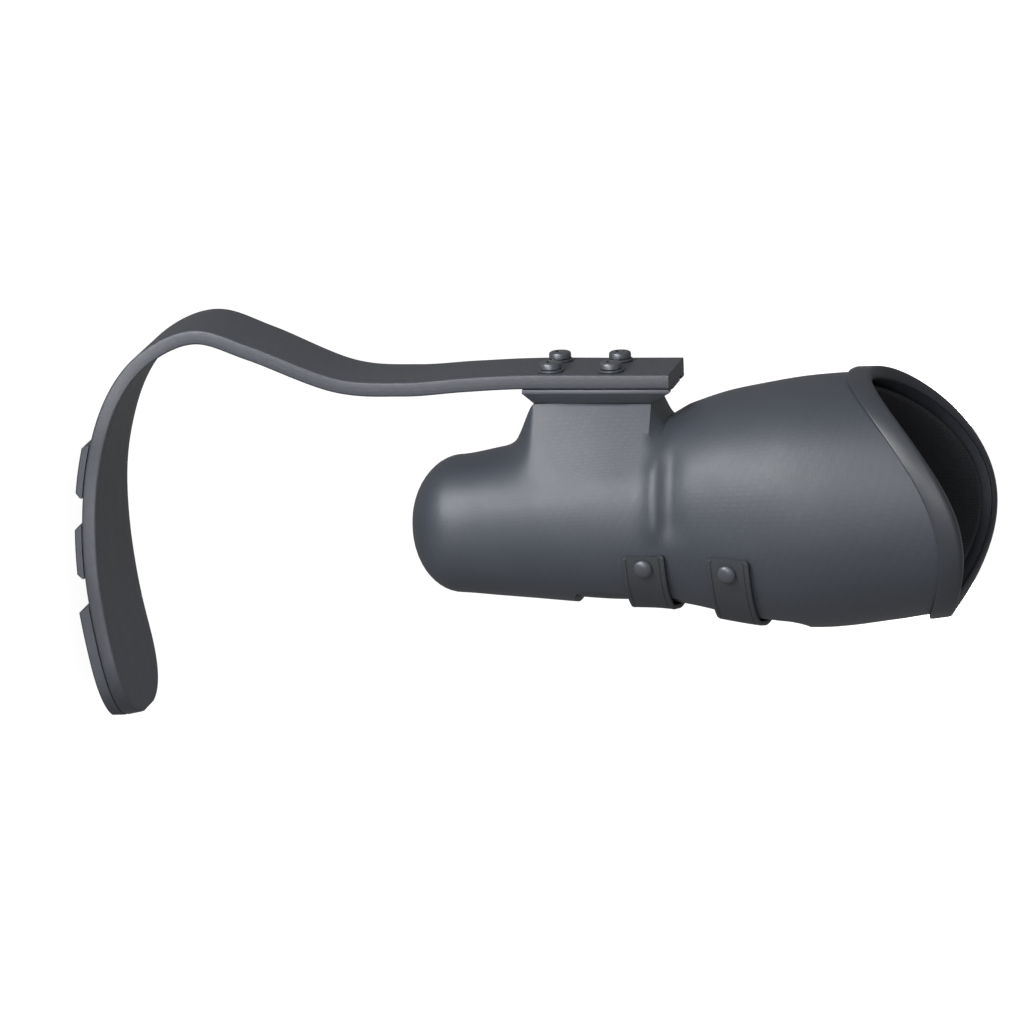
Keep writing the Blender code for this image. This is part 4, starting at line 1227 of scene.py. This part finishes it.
class LEG_OT_lock(bpy.types.Operator):
    """Pin lock in the socket's end: body, notched pin, liner cap, button, bush and spring"""
    bl_idname = "leg.lock"
    bl_label = "Pin lock"

    bore = 5.8

    def execute(self, context):
        steel = metal("pin_steel", sizes().metal_colour, 0.3, 0.85)
        plastic = moulded("lock_plastic", (0.045, 0.048, 0.056), 0.5)
        origin, axis, side = Vector(LOCK_BASE), lock_axis(), lock_point(BUTTON_HEIGHT)
        self.body(origin, axis, side, plastic)
        self.pin(origin, axis, steel)
        self.cap(origin, axis)
        self.button(side, steel, plastic)
        self.spring(side, steel)
        return {"FINISHED"}

    def body(self, origin, axis, side, look):
        """Body with its bores and a funnel for the pin."""
        b = self.bore
        profile = [(b, 0), (19, 0), (26, 7), (29, 13), (29, 26), (27.5, 27.5), (14, 27.5), (b, 20),
                   (b, 0)]
        body = turned("lock_housing", profile, origin, axis, 64)
        way = Vector((1, 0, 0))
        cut(body, drill("bore", 5.1, to_metres(side + way * 14), to_metres(side + way * 40)),
            drill("bore", 2.9, to_metres(side + way * 2), to_metres(side + way * 15)))
        soften(body, 0.4)
        finish_piece(body, "socket", ["lock_body"], look, 30.0)

    def pin(self, origin, axis, look):
        """Notched pin with a tapered nose."""
        profile = [(0, 1.0), (2.6, 1.0), (3.4, 1.5)]
        for k in range(7):
            start = 2.6 + 3.2 * k
            profile += [(4.75, start), (4.9, start + 0.15), (4.9, start + 1.05), (4.75, start + 1.2),
                        (4.1, start + 1.55), (4.1, start + 2.85)]
        profile += [(4.9, 25.5), (4.9, 29.3), (0, 29.3)]
        pin = turned("pin", profile, origin, axis)
        finish_piece(pin, "worn_liner", ["lock_pin"], look, 30.0)

    def cap(self, origin, axis):
        """Cap that screws the pin to the liner's end."""
        profile = [(0, 29.6), (11.6, 29.6), (12.2, 29.8), (19.8, 31.4), (20.6, 31.9), (21, 32.7),
                   (20.9, 33.2), (12, 34.6), (6, 35.2), (0, 35.4)]
        cap = turned("liner_end_cap", profile, origin, axis, 64)
        look = metal("cap_alloy", sizes().metal_colour, 0.4, 0.7)
        finish_piece(cap, "worn_liner", ["liner_cap"], look, 30.0)

    def button(self, side, steel, plastic):
        """Release button with its rod and the bush in the shell."""
        out = BUTTON_OUT
        rod = [(0, 11.5), (2.2, 11.5), (2.5, 11.8), (2.5, 26), (4.7, 26), (4.7, 28), (2.9, 28),
               (2.9, out), (6.0, out), (6.4, out + 0.5), (6.4, out + 2.2), (6.1, out + 2.8),
               (5.4, out + 3.2), (4.6, out + 3.3), (3.6, out + 3.0), (0, out + 2.8)]
        button = turned("button", rod, side, (1, 0, 0))
        finish_piece(button, "release_button", ["lock_button"], steel, 30.0)
        ring = [(3.3, 30.6), (4.6, 30.6), (4.6, out - 4.8), (6.3, out - 4.8), (6.6, out - 4.6),
                (6.6, out - 4.3), (6.3, out - 4.1), (3.6, out - 4.1), (3.3, out - 4.3), (3.3, 30.6)]
        bush = turned("button_guide", ring, side, (1, 0, 0))
        finish_piece(bush, "socket", ["button_bush"], plastic, 30.0)

    def spring(self, side, look):
        """Coil round the button's rod."""
        turns, wire, coil, start, end = 5, 0.45, 3.7, 14.6, 25.4

        def point(angle, share):
            if share < 0 or share > 1:
                thin, share = 0.0, min(max(share, 0.0), 1.0)
            else:
                thin = wire
            turn = math.tau * turns * share
            x = start + wire + (end - start - 2 * wire) * share
            out = Vector((0, math.cos(turn), math.sin(turn)))
            centre = side + Vector((x, 0, 0)) + out * coil
            return centre + out * thin * math.cos(angle) + Vector((thin * math.sin(angle), 0, 0))

        ring = [math.tau * k / 10 for k in range(10)] + [0.0]
        shares = [-1.0] + steps(0.0, 1.0, turns * 28 + 1) + [2.0]
        spring = wrap("button_spring", ring, shares, point, (3, 116))
        finish_piece(spring, "socket", ["lock_spring"], look, 50.0)


class LEG_OT_stage(bpy.types.Operator):
    """Pale floor, soft studio light and the camera"""
    bl_idname = "leg.stage"
    bl_label = "Stage"

    azimuth, elevation, roll = -102.87, 11.4, 90.05
    distance, fill = 5.95, 0.86
    target = (0.0, 0.0, -0.2)
    object_width = 0.492

    def execute(self, context):
        scene = context.scene
        scene.view_settings.view_transform = "Standard"
        self.world(scene)
        self.floor()
        self.backdrop()
        right, up, back = self.axes()
        self.camera(scene, right, up, back)
        self.light("key", back * 0.85 - right * 0.72 + up * 0.50, 0.74, 0.50, 16.5)
        self.light("fill", back * 1.0 - right * 0.3 - up * 0.1, 3.2, 1.6, 70.0)
        far = self.light("far", up * 0.15 - back, 3.2, 1.6, 110.0)
        far.visible_glossy = False
        return {"FINISHED"}

    def axes(self):
        """The camera's right, up and back directions."""
        a, e, t = (math.radians(v) for v in (self.azimuth, self.elevation, self.roll))
        back = Vector((math.sin(a) * math.cos(e), -math.cos(a) * math.cos(e), math.sin(e)))
        level = Vector((math.cos(a), math.sin(a), 0.0))
        upright = back.cross(level)
        right = level * math.cos(t) + upright * math.sin(t)
        return right, back.cross(right), back

    def camera(self, scene, right, up, back):
        """Long lens, turned so that the shank lies across the picture."""
        bpy.ops.object.camera_add()
        camera = bpy.context.object
        camera.name = "camera"
        camera.data.sensor_width = 36.0
        camera.data.lens = 36.0 * self.distance * self.fill / self.object_width
        middle = Vector(self.target) + right * 0.0026 - up * 0.0017
        turn = Matrix((right, up, back)).transposed().to_4x4()
        camera.matrix_world = Matrix.Translation(middle + back * self.distance) @ turn
        camera.data.clip_start, camera.data.clip_end = 0.05, 200.0
        scene.camera = camera

    def world(self, scene):
        """Even white surroundings."""
        world = bpy.data.worlds.new("studio")
        world.use_nodes = True
        background = world.node_tree.nodes["Background"]
        background.inputs["Color"].default_value = (1.0, 1.0, 1.0, 1.0)
        background.inputs["Strength"].default_value = 0.28
        scene.world = world

    def backdrop(self):
        """White dome round the set; it shows behind the leg and lights nothing."""
        clear_selection()
        bpy.ops.mesh.primitive_uv_sphere_add(segments=48, ring_count=24, radius=55.0)
        dome = bpy.context.object
        dome.name = "backdrop"
        look = Look("white_backdrop", Roughness=0.9, Specular_IOR_Level=0.0, Emission_Strength=1.0)
        look.shader.inputs["Base Color"].default_value = (0.0, 0.0, 0.0, 1.0)
        look.shader.inputs["Emission Color"].default_value = (1.0, 1.0, 1.0, 1.0)
        dome.data.materials.append(look.material)
        for kind in ("diffuse", "glossy", "transmission", "volume_scatter", "shadow"):
            setattr(dome, f"visible_{kind}", False)

    def floor(self):
        """Pale floor that glows a little, as a light table does."""
        clear_selection()
        bpy.ops.mesh.primitive_plane_add(size=120.0, location=(0, 0, CAD_BOX[0][2] - FLOOR_DROP))
        floor = bpy.context.object
        floor.name = "floor"
        look = Look("pale_floor", Roughness=0.9, Specular_IOR_Level=0.0, Emission_Strength=0.9)
        look.shader.inputs["Base Color"].default_value = (0.50, 0.50, 0.50, 1.0)
        look.shader.inputs["Emission Color"].default_value = (1.0, 1.0, 1.0, 1.0)
        floor.data.materials.append(look.material)
        floor.visible_diffuse = floor.visible_glossy = False

    def light(self, name, way, distance, size, power):
        """One soft square light."""
        bpy.ops.object.light_add(type="AREA")
        light = bpy.context.object
        light.name = name
        light.data.size = size
        light.data.energy = power
        light.visible_camera = False
        way = way.normalized()
        light.location = Vector(self.target) + way * distance
        light.rotation_mode = "QUATERNION"
        light.rotation_quaternion = way.to_track_quat("Z", "Y")
        return light


class LEG_PT_panel(bpy.types.Panel):
    """Lists the running leg's pieces and sizes"""
    bl_label = "Running leg"
    bl_idname = "LEG_PT_panel"
    bl_space_type = "VIEW_3D"
    bl_region_type = "UI"
    bl_category = "Running leg"

    def draw(self, context):
        for name in RunningLegSizes.__annotations__:
            self.layout.prop(context.scene.running_leg, name)
        for operator in OPERATORS:
            self.layout.operator(operator.bl_idname)


OPERATORS = (LEG_OT_stage, LEG_OT_shell, LEG_OT_brim, LEG_OT_panel, LEG_OT_rail, LEG_OT_blade,
             LEG_OT_treads, LEG_OT_fasteners, LEG_OT_straps, LEG_OT_rivets, LEG_OT_patches,
             LEG_OT_liner, LEG_OT_lock)
CLASSES = (RunningLegSizes, *OPERATORS, LEG_PT_panel)


def register():
    """Add the classes and the scene's sizes."""
    for item in CLASSES:
        bpy.utils.register_class(item)
    bpy.types.Scene.running_leg = bpy.props.PointerProperty(type=RunningLegSizes)


def unregister():
    """Remove them again."""
    del bpy.types.Scene.running_leg
    for item in reversed(CLASSES):
        bpy.utils.unregister_class(item)


def main():
    """Build everything."""
    register()
    for operator in OPERATORS:
        group, name = operator.bl_idname.split(".")
        getattr(getattr(bpy.ops, group), name)()


if __name__ == "__main__":
    main()
